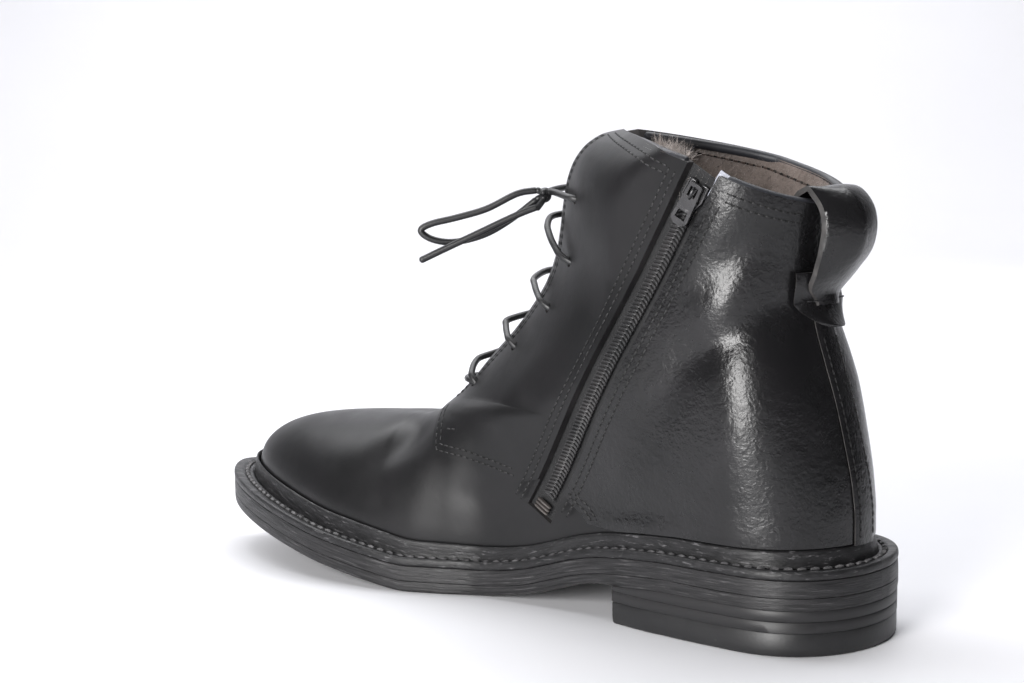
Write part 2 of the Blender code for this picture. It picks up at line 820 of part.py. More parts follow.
def build_leather(surface):
    grid, normals = surface.grid, surface.normals
    black = (0.018, 0.018, 0.019)
    upper = shell("upper", grid, grid - WALL * normals, black, 0.4)
    throat = prism("cut_throat", throat_outline(), THROAT_CENTRE - 0.5 * THROAT_GAP, THROAT_CENTRE + 0.5 * THROAT_GAP)
    slot = prism("cut_zip_slot", zip_band(0.0, 1.3, 0.5 * ZIP_SLOT), 5.0, 80.0)
    holes = build_hole_cutters(surface)
    for tool in (throat, slot, holes):
        boolean(upper, tool, "DIFFERENCE")
    low, high = CLEAR, CLEAR + OVERLAY
    first = TOE_SECTIONS - 1
    panels = (
        ("quarter_front", slice(first, None), slice(0, HALF_COLUMNS + 1), quarter_front_outline(), 1),
        ("quarter_rear", slice(first + 4, None), slice(0, HALF_COLUMNS + 1), quarter_rear_outline(), 1),
        ("quarter_outer", slice(first, None), slice(HALF_COLUMNS, None), quarter_outer_outline(), -1),
    )
    for name, rows, columns, outline, side in panels:
        face, out = grid[rows, columns], normals[rows, columns]
        panel = shell(name, face + high * out, face + low * out, black, 0.4)
        reach = (BACK_STRIP_SEAM, 90.0) if side > 0 else (-90.0, -BACK_STRIP_SEAM)
        boolean(panel, prism("keep_" + name, outline, *reach), "INTERSECT")
        if name != "quarter_rear":
            boolean(panel, throat, "DIFFERENCE")
            boolean(panel, holes, "DIFFERENCE")
    inner = slice(0, HALF_COLUMNS + 1)
    tape_out = WALL + CLEAR
    face, out = grid[first:, inner], normals[first:, inner]
    tape = shell("zip_tape", face - tape_out * out, face - (tape_out + ZIP_TAPE) * out, black, 0.8)
    boolean(tape, prism("keep_zip_tape", zip_band(0.03, 0.985, 0.5 * ZIP_TAPE_WIDTH), 5.0, 80.0), "INTERSECT")
    chain = shell("zip_chain", face - 0.2 * out, face - (tape_out - CLEAR) * out, (0.03, 0.03, 0.032), 0.45)
    boolean(chain, prism("keep_zip_chain", zip_band(0.055, SLIDER_AT - 0.045, 0.5 * ZIP_CHAIN), 5.0, 80.0), "INTERSECT")
    stop = shell("zip_stop", face + 0.3 * out, face - (tape_out - CLEAR) * out, (0.12, 0.11, 0.10), 0.4)
    boolean(stop, prism("keep_zip_stop", zip_band(0.015, 0.05, 0.55 * ZIP_CHAIN), 5.0, 80.0), "INTERSECT")
    rows = slice(TOE_SECTIONS + TONGUE_START, None)
    columns = slice(HALF_COLUMNS - TONGUE_COLUMNS, HALF_COLUMNS + TONGUE_COLUMNS + 1)
    face, out = grid[rows, columns], normals[rows, columns]
    shell("tongue", face - (WALL + 2 * CLEAR) * out, face - (WALL + 2 * CLEAR + TONGUE) * out, black, 0.5)


def eyelet_rows():
    """Section number of each pair of lace holes, and how far each hole lies from the ridge."""
    first = TOE_SECTIONS + len(fan_feet()) - 1
    return [(first + share * SHAFT_SECTIONS, setback) for share, setback in EYELETS]


def build_hole_cutters(surface):
    points, faces = [], []
    for row, setback in eyelet_rows():
        for side in (1, -1):
            centre, out = surface.at(row, side * setback)
            across = np.cross(out, (0.0, 0.0, 1.0))
            across = across / np.linalg.norm(across)
            up = np.cross(across, out)
            start = len(points)
            for reach in (-6.0, 6.0):
                for k in range(HOLE_SIDES):
                    turn = 2 * math.pi * (k + 0.5) / HOLE_SIDES
                    spoke = math.cos(turn) * across + math.sin(turn) * up
                    points.append(centre + reach * out + 0.5 * EYELET * spoke)
            low = list(range(start, start + HOLE_SIDES))
            high = [k + HOLE_SIDES for k in low]
            faces.append(low)
            faces.append(high[::-1])
            for k in range(HOLE_SIDES):
                after = (k + 1) % HOLE_SIDES
                faces.append([low[k], high[k], high[after], low[after]])
    return cutter(make("cut_lace_holes", points, faces, (0.5, 0.5, 0.5), 0.5))


def zip_frame(surface, share, lift):
    """Centre, up the zip, across it and outward, at a share of the zip's line."""
    x, z = zip_point(share)
    best = None
    for n in range(TOE_SECTIONS, len(surface.grid) - 1):
        for k in range(HALF_COLUMNS):
            corners = surface.grid[n : n + 2, k : k + 2]
            centre = corners.reshape(-1, 3).mean(axis=0)
            gap = math.hypot(centre[0] - x, centre[2] - z)
            if best is None or gap < best[0]:
                best = (gap, n, k)
    _, n, k = best
    around = surface.grid[n - 1 : n + 3, max(k - 1, 0) : k + 3].reshape(-1, 3)
    fit = np.linalg.lstsq(np.c_[around[:, 0], around[:, 2], np.ones(len(around))], around[:, 1], rcond=None)[0]
    out = np.array([-fit[0], 1.0, -fit[1]])
    out = out / np.linalg.norm(out)
    up = np.array([ZIP_TOP[0] - ZIP_FOOT[0], 0.0, ZIP_TOP[1] - ZIP_FOOT[1]])
    up = up - out * (up @ out)
    up = up / np.linalg.norm(up)
    across = np.cross(up, out)
    centre = np.array([x, fit @ np.array([x, z, 1.0]), z]) + lift * out
    return centre, up, across, out


def placed(centre, frame, outline, low, high):
    """An outline in the plane of a frame's first two directions, extruded along its third."""
    up, across, out = frame
    count = len(outline)
    points = [centre + a * up + b * across + h * out for h in (low, high) for a, b in outline]
    faces = [list(range(count)), list(range(2 * count - 1, count - 1, -1))]
    for k in range(count):
        after = (k + 1) % count
        faces.append([k, after, after + count, k + count])
    return points, faces


def build_slider(surface):
    centre, up, across, out = zip_frame(surface, SLIDER_AT, 0.0)
    frame = (up, across, out)
    half = 0.5 * SLIDER_WIDTH
    front = 0.5 * SLIDER_LENGTH
    body = [(-front, 0.62 * half), (0.0, half), (front, 0.8 * half), (front, -0.8 * half), (0.0, -half)]
    body.append((-front, -0.62 * half))
    points, faces = placed(centre, frame, body, -SLIDER_UNDER, SLIDER_TOP)
    post = [(0.6, 1.0), (2.6, 1.0), (2.6, -1.0), (0.6, -1.0)]
    more, sides = placed(centre, frame, post, SLIDER_TOP - 0.5, SLIDER_TOP + BRIDGE)
    steel = (0.10, 0.10, 0.105)
    slider = make("zip_slider", points, faces, steel, 0.3, 0.9)
    bridge = cutter(make("join_zip_bridge", more, sides, steel, 0.3, 0.9))
    boolean(slider, bridge, "UNION")
    axis = centre + PULL_AXIS_UP * up + (SLIDER_TOP + 0.5 * PULL_THICK + 2 * CLEAR) * out
    arm = 0.5 * PULL_WIDTH
    outline = [(0.7, arm * 0.8), (0.7, -arm * 0.8), (-PULL_LENGTH + 2.0, -arm), (-PULL_LENGTH, -0.7 * arm)]
    outline += [(-PULL_LENGTH, 0.7 * arm), (-PULL_LENGTH + 2.0, arm)]
    points, faces = placed(np.zeros(3), frame, outline, -0.5 * PULL_THICK, 0.5 * PULL_THICK)
    pull = make("zip_pull", [p + (ORIGIN_X, 0, 0) for p in points], faces, steel, 0.3, 0.9)
    windows = (((-0.7, 1.55), (-4.2, 1.55), (-4.2, -1.55), (-0.7, -1.55)),
               ((-5.6, 1.7), (-PULL_LENGTH + 1.8, 1.9), (-PULL_LENGTH + 1.8, -1.9), (-5.6, -1.7)))
    for k, window in enumerate(windows):
        points, faces = placed(axis, frame, list(window), -3.0, 3.0)
        boolean(pull, cutter(make(f"cut_pull_window_{k + 1}", points, faces, steel, 0.3)), "DIFFERENCE")
    pull.location = ((axis[0] - ORIGIN_X) * MM, axis[1] * MM, axis[2] * MM)
    return axis, across


def back_point(y, z, lift):
    """A point over the back of the shaft or heel at a height and a distance to the side."""
    def surface_x(side, height):
        depth = HEEL_CURVE - 6.0 * smooth((height - 40.0) / 60.0)
        x = back_line(min(height, BACK_HEIGHT)) + 3.0
        width = shaft_or_foot(x + 20.0, height)
        share = min(abs(side) / width, 0.95)
        return float(back_line(min(height, BACK_HEIGHT)) + depth * (1.0 - (1.0 - share**2) ** (1 / 2.3)))

    here = surface_x(y, z)
    slope_y = (surface_x(y + 0.5, z) - surface_x(y - 0.5, z))
    slope_z = (surface_x(y, min(z + 0.5, BACK_HEIGHT)) - surface_x(y, z - 0.5))
    normal = np.array([-1.0, slope_y, slope_z])
    normal = normal / np.linalg.norm(normal)
    return np.array([here, y, z]) + lift * normal


def shaft_or_foot(x, z):
    """Half the width of the upper behind the ankle."""
    foot = curve(SOLE_PLAN, 2, x / LENGTH) - upper_inset(x, z - upper_foot(x))
    shaft = SHAFT_WIDTH * curve(SHAFT, 1, z / FRONT_HEIGHT)
    leg = smooth((z - 40.0) / 60.0)
    return float(foot * (1.0 - leg) + shaft * leg)


def back_patch(name, heights, half_at, low, high, colour):
    """A piece over the back seam: rows of heights, each with its half width."""
    across = np.linspace(-1.0, 1.0, 7)
    outer, inner = [], []
    for z in heights:
        half = half_at(z)
        outer.append([back_point(half * s, z, high) for s in across])
        inner.append([back_point(half * s, z, low) for s in across])
    return shell(name, np.array(outer), np.array(inner), colour, 0.4)


def build_back():
    black = (0.018, 0.018, 0.019)
    low = float(welt_under(12.0) + WELT + lip_height(12.0)) + LIP_PLAY
    seat = CLEAR + OVERLAY + 2 * CLEAR + BACK_PLAY
    strip_top = PATCH_LOW - 2 * CLEAR
    heights = np.linspace(low, strip_top, 12)
    back_patch("back_strip", heights, lambda z: 0.5 * BACK_STRIP, seat, seat + STRIP, black)
    heights = np.array([PATCH_LOW, PATCH_LOW + 4.0, PATCH_LOW + 9.0, PATCH_LOW + 14.0, PATCH_HIGH])
    reach = lambda z: 0.5 * PATCH_WIDTH * min(1.0, 0.45 + (z - PATCH_LOW) / 14.0)
    back_patch("loop_patch", heights, reach, seat, seat + STRIP, black)
    build_pull_loop(seat + STRIP)


def build_pull_loop(seat):
    """The strap from inside the collar, out over its edge and back to the patch."""
    rim = BACK_HEIGHT
    x_rim = float(back_line(rim))
    inside = lambda z: float(back_line(z)) + WALL + 3 * CLEAR
    low = back_point(0.0, PATCH_LOW + 13.0, seat + CLEAR + 0.5)
    lower = back_point(0.0, PATCH_LOW + 3.0, seat + CLEAR + 0.5)
    path = [
        (inside(rim - 18.0), rim - 18.0),
        (inside(rim - 10.0), rim - 10.0),
        (inside(rim - 3.0), rim - 3.0),
        (inside(rim), rim + 2.2),
        (x_rim - 1.5, rim + 4.0),
        (x_rim - LOOP_REACH * 0.55, rim + 3.4),
        (x_rim - LOOP_REACH * 0.90, rim - 1.5),
        (x_rim - LOOP_REACH, rim - 8.0),
        (x_rim - LOOP_REACH * 0.86, rim - 15.0),
        (x_rim - LOOP_REACH * 0.45, rim - 21.5),
        (low[0], low[2]),
        (lower[0] - 0.6, lower[2]),
    ]
    line = np.array(path)
    turn = unit(np.gradient(line, axis=0))
    side = np.stack([turn[:, 1], -turn[:, 0]], axis=1)
    halves = np.full(len(line), 0.5 * LOOP_WIDTH)
    halves[-1] *= LOOP_TAPER
    across = np.linspace(-1.0, 1.0, 5)

    def sheet(off):
        rows = line + off * side
        return np.array([[(x + LOOP_CUP * s * s, s * w, z) for s in across] for (x, z), w in zip(rows, halves)])

    shell("pull_loop", sheet(LOOP_THICK), sheet(0.0), (0.018, 0.018, 0.019), 0.4)


def tube(name, points, radius, colour):
    """A round cord through points in millimetres."""
    data = bpy.data.curves.new(name, "CURVE")
    data.dimensions = "3D"
    data.bevel_depth = radius * MM
    data.bevel_resolution = 2
    data.use_fill_caps = True
    line = data.splines.new("POLY")
    line.points.add(len(points) - 1)
    for knot, (x, y, z) in zip(line.points, points):
        knot.co = ((x - ORIGIN_X) * MM, y * MM, z * MM, 1.0)
    obj = bpy.data.objects.new(name, data)
    bpy.context.scene.collection.objects.link(obj)
    data.materials.append(material(name, colour, 0.4, 0.0))
    return obj


def through(points, steps):
    """A smooth curve read off at even steps between route points."""
    points = np.array(points, float)
    padded = np.vstack([2 * points[0] - points[1], points, 2 * points[-1] - points[-2]])
    found = []
    for k in range(1, len(padded) - 2):
        a, b, c, d = padded[k - 1 : k + 3]
        for t in np.arange(steps) / steps:
            found.append(
                0.5 * (2 * b + (c - a) * t + (2 * a - 5 * b + 4 * c - d) * t**2 + (3 * b - a - 3 * c + d) * t**3)
            )
    found.append(points[-1])
    return np.array(found)


def build_lace(surface):
    black = (0.015, 0.015, 0.016)
    lift = CLEAR + OVERLAY + CLEAR + 0.5 * LACE
    rows = eyelet_rows()
    route = []
    for n, row in enumerate(rows):
        if n:
            route += lace_over(surface, rows[n - 1], row, 1, lift)
        route += lace_over(surface, row, row, -1 if n else 0, lift)
    tube("lace_bars", np.array(route), 0.5 * LACE, black)
    top = surface.at(rows[-1][0] - KNOT_BELOW, KNOT_ASIDE, lift + KNOT)[0]
    knot = bpy.data.meshes.new("lace_knot")
    bm = bmesh.new()
    bmesh.ops.create_icosphere(bm, subdivisions=2, radius=1.0)
    for vert in bm.verts:
        vert.co = (vert.co.x * 0.5 * KNOT * MM, vert.co.y * 0.75 * KNOT * MM, vert.co.z * 0.6 * KNOT * MM)
    bm.to_mesh(knot)
    bm.free()
    knot.materials.append(material("lace_knot", black, 0.4, 0.0))
    place = bpy.data.objects.new("lace_knot", knot)
    place.location = ((top[0] - ORIGIN_X) * MM, top[1] * MM, top[2] * MM)
    bpy.context.scene.collection.objects.link(place)
    along, across = math.cos(BOW_TURN), math.sin(BOW_TURN)
    for name, aside, route in (("lace_loop", 0.0, BOW_LOOP), ("lace_end", BOW_END_ASIDE, BOW_END)):
        points = [top + (a * along - aside * across, a * across + aside * along, b) for a, b in route]
        tube(name, through(points, 3), 0.5 * LACE, black)


def lace_over(surface, start, end, turn, lift):
    """Points of one run over the throat, from the inner side out or back, clear of the facings."""
    sides = np.linspace(1.0, -1.0, 7) if turn <= 0 else np.linspace(-1.0, 1.0, 7)
    shares = np.linspace(0.0, 1.0, 7)
    found = []
    for share, side in zip(shares, sides):
        row = start[0] + (end[0] - start[0]) * share
        setback = start[1] + (end[1] - start[1]) * share
        rise = LACE_RISE * math.sin(math.pi * share)
        found.append(surface.at(row, side * setback, lift + rise)[0])
    return found if turn == 0 else found[1:]


def clear_scene():
    for obj in list(bpy.data.objects):
        bpy.data.objects.remove(obj)


def main():
    clear_scene()
    build_sole()
    grid = upper_grid()
    surface = Surface(grid, normals_of(grid))
    build_leather(surface)
    build_slider(surface)
    build_back()
    build_lace(surface)


main()
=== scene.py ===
"""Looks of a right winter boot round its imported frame.

+X points to the toe, +Y to the inner side of the foot and +Z up. Sizes are in millimetres, and x is
measured forward from the back of the sole until a piece is made.
"""

import json
import math

import bmesh
import bpy
import numpy as np
from mathutils import Matrix, Vector
from mathutils.bvhtree import BVHTree

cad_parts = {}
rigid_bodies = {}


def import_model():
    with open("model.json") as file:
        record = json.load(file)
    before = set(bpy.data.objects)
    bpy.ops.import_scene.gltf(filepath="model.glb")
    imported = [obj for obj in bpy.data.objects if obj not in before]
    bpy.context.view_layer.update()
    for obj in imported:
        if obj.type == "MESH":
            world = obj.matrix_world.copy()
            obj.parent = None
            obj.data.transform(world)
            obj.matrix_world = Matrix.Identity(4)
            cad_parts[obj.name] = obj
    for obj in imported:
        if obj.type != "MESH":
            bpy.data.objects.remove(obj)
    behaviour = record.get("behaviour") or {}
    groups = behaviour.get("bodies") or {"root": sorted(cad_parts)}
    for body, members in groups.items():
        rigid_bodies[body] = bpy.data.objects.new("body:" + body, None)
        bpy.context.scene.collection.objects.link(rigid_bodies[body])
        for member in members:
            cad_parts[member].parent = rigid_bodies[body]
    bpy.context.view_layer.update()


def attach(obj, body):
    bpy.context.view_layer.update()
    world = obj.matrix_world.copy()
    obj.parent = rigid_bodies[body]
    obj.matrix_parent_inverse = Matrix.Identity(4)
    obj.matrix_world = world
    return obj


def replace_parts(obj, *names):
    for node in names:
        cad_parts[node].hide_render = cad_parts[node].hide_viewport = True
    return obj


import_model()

MM = 0.001
CLEAR = 0.3  # between pieces that touch

# Foot sizes
LENGTH = 305.0
HEEL_WIDTH = 72.5
WAIST_WIDTH = 68.5
BALL_WIDTH = 98.8
INSTEP_HEIGHT = 62.0
FRONT_HEIGHT = 170.0
BACK_HEIGHT = 146.0
SHAFT_WIDTH = 68.0
HEEL_CURVE = 34.0
TOE_CURVE = 90.0

# Sole sizes
HEEL_HEIGHT = 15.5
TOE_SPRING = 19.5
OUTSOLE = 4.0
MIDSOLE = 5.4
WELT = 3.2
TOP_PIECE = 8.0
LIFT_JOINT = 11.8
HEEL_LENGTH = 88.5
BREAST_DEPTH = 4.0
INSOLE = 3.0
INSOLE_PLAY = 2.5
WAIST_BEVEL = 4.0
EDGE_ROUND = 0.8
LIP_THICKNESS = 1.8
STITCH_LEDGE = 0.8

# Upper sizes
WALL = 2.0
OVERLAY = 1.2
STRIP = 1.0
FEATHER_TUCK = 2.5
TUCK_HEIGHT = 14.0
HEEL_TUCK = 24.0
TOE_TUCK = 30.0
FOOT_LIFT = 0.5  # the upper's lower edge above the welt's underside
COLLAR_BOW_INNER = 5.5
COLLAR_BOW_OUTER = 2.0
ORIGIN_X = 43.0

# Sole outline: along as a share of the length, centre line as a share of the ball width, half width
SOLE_PLAN = (
    (0.000, 0.000, 0.500 * HEEL_WIDTH),
    (0.131, -0.002, 0.500 * HEEL_WIDTH),
    (0.230, -0.013, 0.493 * HEEL_WIDTH),
    (0.328, -0.043, 0.500 * WAIST_WIDTH),
    (0.410, -0.063, 0.522 * WAIST_WIDTH),
    (0.492, -0.073, 0.392 * BALL_WIDTH),
    (0.541, -0.063, 0.438 * BALL_WIDTH),
    (0.593, -0.043, 0.478 * BALL_WIDTH),
    (0.656, -0.030, 0.500 * BALL_WIDTH),
    (0.721, -0.017, 0.500 * BALL_WIDTH),
    (0.839, 0.008, 0.500 * BALL_WIDTH),
    (1.000, 0.050, 0.500 * BALL_WIDTH),
)
# Underside of the outsole: along, share of the heel height, share of the toe spring
SOLE_LINE = (
    (0.000, 1.00, 0.00),
    (0.200, 1.00, 0.00),
    (0.252, 0.94, 0.00),
    (0.311, 0.80, 0.00),
    (0.354, 0.62, 0.00),
    (0.387, 0.42, 0.00),
    (0.426, 0.20, 0.00),
    (0.466, 0.06, 0.00),
    (0.500, 0.00, 0.00),
    (0.580, 0.00, 0.00),
    (0.639, 0.00, 0.13),
    (0.715, 0.00, 0.33),
    (0.777, 0.00, 0.51),
    (0.843, 0.00, 0.68),
    (0.902, 0.00, 0.82),
    (1.000, 0.00, 1.00),
)
# Sole edge to the upper, and height of the welt's lip above its ledge
EDGE = (
    (0.00, 8.8, 5.0),
    (0.13, 7.6, 5.0),
    (0.25, 6.8, 5.0),
    (0.40, 6.0, 4.8),
    (0.55, 7.4, 5.5),
    (0.65, 8.5, 6.5),
    (0.80, 10.0, 6.5),
    (1.00, 12.5, 6.0),
)
# Front ridge: along, share of the instep height, share of the shaft above it
RIDGE = (
    (0.9590, 0.465, 0.000),
    (0.9570, 0.560, 0.000),
    (0.9460, 0.665, 0.000),
    (0.9180, 0.780, 0.000),
    (0.8800, 0.865, 0.000),
    (0.8350, 0.920, 0.000),
    (0.7830, 0.952, 0.000),
    (0.7210, 0.976, 0.000),
    (0.6460, 1.000, 0.000),
    (0.6160, 1.000, 0.024),
    (0.5900, 1.000, 0.066),
    (0.5705, 1.000, 0.123),
    (0.5380, 1.000, 0.226),
    (0.5070, 1.000, 0.316),
    (0.4800, 1.000, 0.401),
    (0.4540, 1.000, 0.500),
    (0.4390, 1.000, 0.594),
    (0.4310, 1.000, 0.685),
    (0.4250, 1.000, 0.775),
    (0.4175, 1.000, 0.855),
    (0.4060, 1.000, 0.915),
    (0.3880, 1.000, 0.962),
    (0.3650, 1.000, 0.990),
    (0.3380, 1.000, 1.000),
)
# Back seam: height as a share of the back height, along
BACK = (
    (0.178, 0.0290),
    (0.233, 0.0270),
    (0.288, 0.0270),
    (0.356, 0.0300),
    (0.452, 0.0395),
    (0.555, 0.0520),
    (0.637, 0.0645),
    (0.726, 0.0770),
    (0.788, 0.0815),
    (0.842, 0.0805),
    (0.925, 0.0740),
    (1.000, 0.0680),
)
# Shaft: height as a share of the front height, half width as a share of the shaft width
SHAFT = (
    (0.25, 0.500),
    (0.48, 0.478),
    (0.60, 0.463),
    (0.70, 0.456),
    (0.80, 0.470),
    (0.90, 0.490),
    (1.00, 0.500),
)
# How far the top of a section rounds off: along at the ridge, distance from the ridge
ROUND_OFF = (
    (0.340, 44.0),
    (0.410, 46.0),
    (0.441, 50.0),
    (0.498, 58.0),
    (0.567, 66.0),
    (0.650, 48.0),
    (0.800, 42.0),
    (1.000, 42.0),
)

# Panels and zip, in side view: x and z
DERBY_EDGE = ((178.5, 66.0), (175.0, 61.0), (173.0, 56.0), (170.6, 51.5), (158.5, 50.0), (144.5, 47.0), (133.2, 44.4))
REAR_EDGE = ((101.4, 33.0), (104.0, 36.0), (109.6, 39.5), (112.5, 43.0))
OUTER_EDGE = ((110.0, 36.0), (122.0, 41.0))
ZIP_FOOT = (124.5, 34.0)
ZIP_TOP = (46.5, 158.5)
ZIP_SLOT = 12.0
ZIP_CHAIN = 6.0
ZIP_TAPE = 0.8
ZIP_TAPE_WIDTH = 24.0
SLIDER_AT = 0.93
SLIDER_LENGTH = 9.5
SLIDER_WIDTH = 8.6
SLIDER_UNDER = 0.0
SLIDER_TOP = 1.7
BRIDGE = 2.4
PULL_AXIS_UP = 3.7
PULL_LENGTH = 15.0
PULL_WIDTH = 6.4
PULL_THICK = 1.3
LIP_PLAY = 0.6
BACK_STRIP = 11.0
BACK_STRIP_SEAM = 0.4
BACK_PLAY = 0.3
THROAT_X = 181.0
THROAT_GAP = 10.0
THROAT_CENTRE = 0.8
TONGUE = 1.6
TONGUE_START = 9
TONGUE_COLUMNS = 3
EYELET = 4.0
HOLE_SIDES = 8
# Lace holes: share of the way up the facing, distance from the front ridge
EYELETS = (
    (0.062, 15.5),
    (0.215, 20.5),
    (0.385, 24.0),
    (0.555, 25.0),
    (0.738, 25.0),
)

# Pull loop and lace
LOOP_WIDTH = 22.0
LOOP_THICK = 1.8
LOOP_REACH = 12.5
LOOP_CUP = 1.8
LOOP_TAPER = 0.55
PATCH_LOW = 105.0
PATCH_HIGH = 124.0
PATCH_WIDTH = 27.0
LACE = 2.5
LACE_RISE = 1.2
KNOT = 5.0
KNOT_ASIDE = 9.0
KNOT_BELOW = 0.2
BOW_TURN = math.radians(40.0)
BOW_END_ASIDE = 3.2
# The bow in its own upright plane: out from the knot, and up
BOW_LOOP = (
    (3.5, 1.2),
    (11.0, 0.0),
    (22.0, -5.2),
    (33.0, -8.2),
    (42.0, -10.2),
    (46.0, -12.6),
    (42.5, -15.6),
    (36.0, -17.0),
    (29.0, -16.2),
    (21.0, -13.6),
    (12.5, -8.6),
    (5.5, -3.4),
    (3.6, -1.9),
)
BOW_END = (
    (3.4, -4.6),
    (9.0, -6.6),
    (16.0, -9.6),
    (27.0, -14.6),
    (36.0, -18.6),
    (46.5, -23.4),
)

# Sections of the upper: upright ones over the foot, a fan at the instep, level ones up the shaft
TOE_SECTIONS = 10
SHAFT_SECTIONS = 13
HALF_COLUMNS = 10
FAN_START = 200.0
FAN_END = 180.0
SECTION_ARCH = 22.0
NORMAL_PASSES = 3

# Fine rows and columns of the upper, and finer steps round the sole
TOE_ROWS = 44
FAN_ROWS = 64
SHAFT_ROWS = 64
HALF = 60
WAVE = 0.10
LEG_REACH = 1.25
PITCH = 2.7
WELT_PITCH = 4.4
SEAM_SIDE = -1.0
TURN_IN = 7.0
ZIP_PITCH = 1.55
TUFTS = 5200
RUN_RISE = (2.0, 2.4, 2.8, 3.2)
# The slider's middle, and the directions up the zip and out of the leather there
SLIDER_CENTRE = (51.96, 31.13, 149.79)
HINGE_UP = (-0.5311, 0.0013, 0.8473)
HINGE_OUT = (-0.1469, 0.9847, -0.0937)
# The photo's camera
CAMERA_TARGET = (107.0, 0.0, 90.0)
CAMERA_YAW = 0.702
CAMERA_PITCH = 0.117
CAMERA_ROLL = -0.018
CAMERA_DISTANCE = 713.4
CAMERA_FOCAL = 1894.9
CAMERA_SHIFT = (-6.2, 2.0)
# Folds in side view: start x and z, end x and z, width, height, side
FOLDS = (
    (30.0, 110.0, 54.0, 95.0, 7.5, -2.2, 1),
    (54.0, 95.0, 76.0, 66.0, 9.0, -1.4, 1),
    (36.0, 122.0, 48.0, 104.0, 7.0, 1.1, 1),
    (31.0, 86.0, 42.0, 50.0, 11.0, 1.3, 1),
    (42.0, 144.0, 58.0, 120.0, 5.0, 0.8, 1),
    (33.0, 136.0, 46.0, 122.0, 5.0, -0.9, 1),
    (179.0, 62.0, 198.0, 48.0, 6.0, -1.5, 1),
    (190.0, 62.0, 208.0, 50.0, 8.0, 1.0, 1),
    (147.0, 33.0, 157.0, 38.0, 5.0, -0.45, 1),
    (60.0, 43.0, 98.0, 39.0, 5.0, -0.9, 1),
    (88.0, 118.0, 110.0, 86.0, 8.0, -1.0, 1),
    (118.0, 92.0, 140.0, 70.0, 6.0, 0.7, 1),
    (30.0, 112.0, 60.0, 92.0, 8.0, -1.8, -1),
    (31.0, 84.0, 42.0, 50.0, 11.0, 1.1, -1),
    (96.0, 104.0, 132.0, 74.0, 7.0, -1.1, -1),
    (60.0, 74.0, 100.0, 62.0, 9.0, -1.2, -1),
    (176.0, 60.0, 198.0, 48.0, 6.0, -1.3, -1),
    (40.0, 140.0, 70.0, 118.0, 6.0, 0.7, -1),
)


def sole_shares():
    """Shares of the length, close together round the heel and the toe."""
    known = stations()
    return np.interp(np.arange(4 * (len(known) - 1) + 1) / 4, np.arange(len(known)), known)




def smooth(value):
    value = np.clip(value, 0.0, 1.0)
    return value * value * (3.0 - 2.0 * value)


def curve(rows, column, at):
    """A smooth curve through a table's rows that never overshoots them."""
    knots = np.array([row[0] for row in rows], float)
    values = np.array([row[column] for row in rows], float)
    if knots[0] > knots[-1]:
        knots, values = knots[::-1], values[::-1]
    step = np.diff(knots)
    slope = np.diff(values) / step
    inner = np.where(
        slope[:-1] * slope[1:] > 0,
        2.0 * slope[:-1] * slope[1:] / np.where(slope[:-1] + slope[1:] == 0, 1, slope[:-1] + slope[1:]),
        0.0,
    )
    tangent = np.concatenate([slope[:1], inner, slope[-1:]])
    at = np.clip(np.asarray(at, float), knots[0], knots[-1])
    i = np.clip(np.searchsorted(knots, at, side="right") - 1, 0, len(knots) - 2)
    t = (at - knots[i]) / step[i]
    return (
        (1 + 2 * t) * (1 - t) ** 2 * values[i]
        + t * (1 - t) ** 2 * step[i] * tangent[i]
        + t * t * (3 - 2 * t) * values[i + 1]
        + t * t * (t - 1) * step[i] * tangent[i + 1]
    )


def edge_width(x):
    return curve(EDGE, 1, x / LENGTH)


def lip_height(x):
    return curve(EDGE, 2, x / LENGTH)


def outsole_under(x):
    share = x / LENGTH
    return HEEL_HEIGHT * curve(SOLE_LINE, 1, share) + TOE_SPRING * curve(SOLE_LINE, 2, share)


def upper_inset(x, height):
    """From the sole's edge to the upper's face, at a height above the upper's lower edge."""
    rise = np.clip(height / TUCK_HEIGHT, 0.0, 1.0)
    ends = smooth(x / HEEL_TUCK) * smooth((LENGTH - x) / TOE_TUCK)
    return edge_width(x) - FEATHER_TUCK * ends * (1.0 - (1.0 - rise) ** 2)


def midsole_under(x):
    return outsole_under(x) + OUTSOLE + CLEAR


def welt_under(x):
    return midsole_under(x) + MIDSOLE + CLEAR


def toe_round(x, end):
    """How the outline narrows from the ball to the toe tip at end."""
    start = LENGTH - TOE_CURVE
    part = np.clip((x - start) / (end - start), 0.0, 1.0)
    return (1.0 - part**1.6) ** 0.625


def heel_round(x, start):
    part = np.clip((HEEL_CURVE + start - x) / HEEL_CURVE, 0.0, 1.0)
    return np.sqrt(1.0 - part**2.3)


def plan_centre(x):
    return curve(SOLE_PLAN, 1, x / LENGTH) * BALL_WIDTH


def plan_half(x, inset, back, front):
    width = curve(SOLE_PLAN, 2, x / LENGTH) - inset
    return width * heel_round(x, back) * toe_round(x, LENGTH - front)


def stations():
    """Shares of the length, closer together round the heel and the toe."""
    heel = [0.0, 0.005, 0.018, 0.038, 0.065, 0.1]
    middle = [0.15, 0.2, 0.25, 0.29, 0.33, 0.37, 0.41, 0.455, 0.5, 0.54, 0.58, 0.62, 0.665, 0.71, 0.755]
    toe = [0.8, 0.84, 0.878, 0.912, 0.942, 0.966, 0.984, 0.996, 1.0]
    return np.array(heel + middle + toe)


def side_points(inset, height, shares):
    """Inner side and outer side points of one closed outline, from heel to toe."""
    along = shares * LENGTH
    insets = inset(along) if callable(inset) else np.full(len(along), float(inset))
    back, front = insets[0], insets[-1]
    x = back + shares * (LENGTH - back - front)
    half = plan_half(x, insets, back, front)
    centre = plan_centre(x)
    z = height(x) + np.zeros(len(x))
    inner = np.stack([x, centre + half, z], axis=1)
    outer = np.stack([x, centre - half, z], axis=1)
    return inner, outer


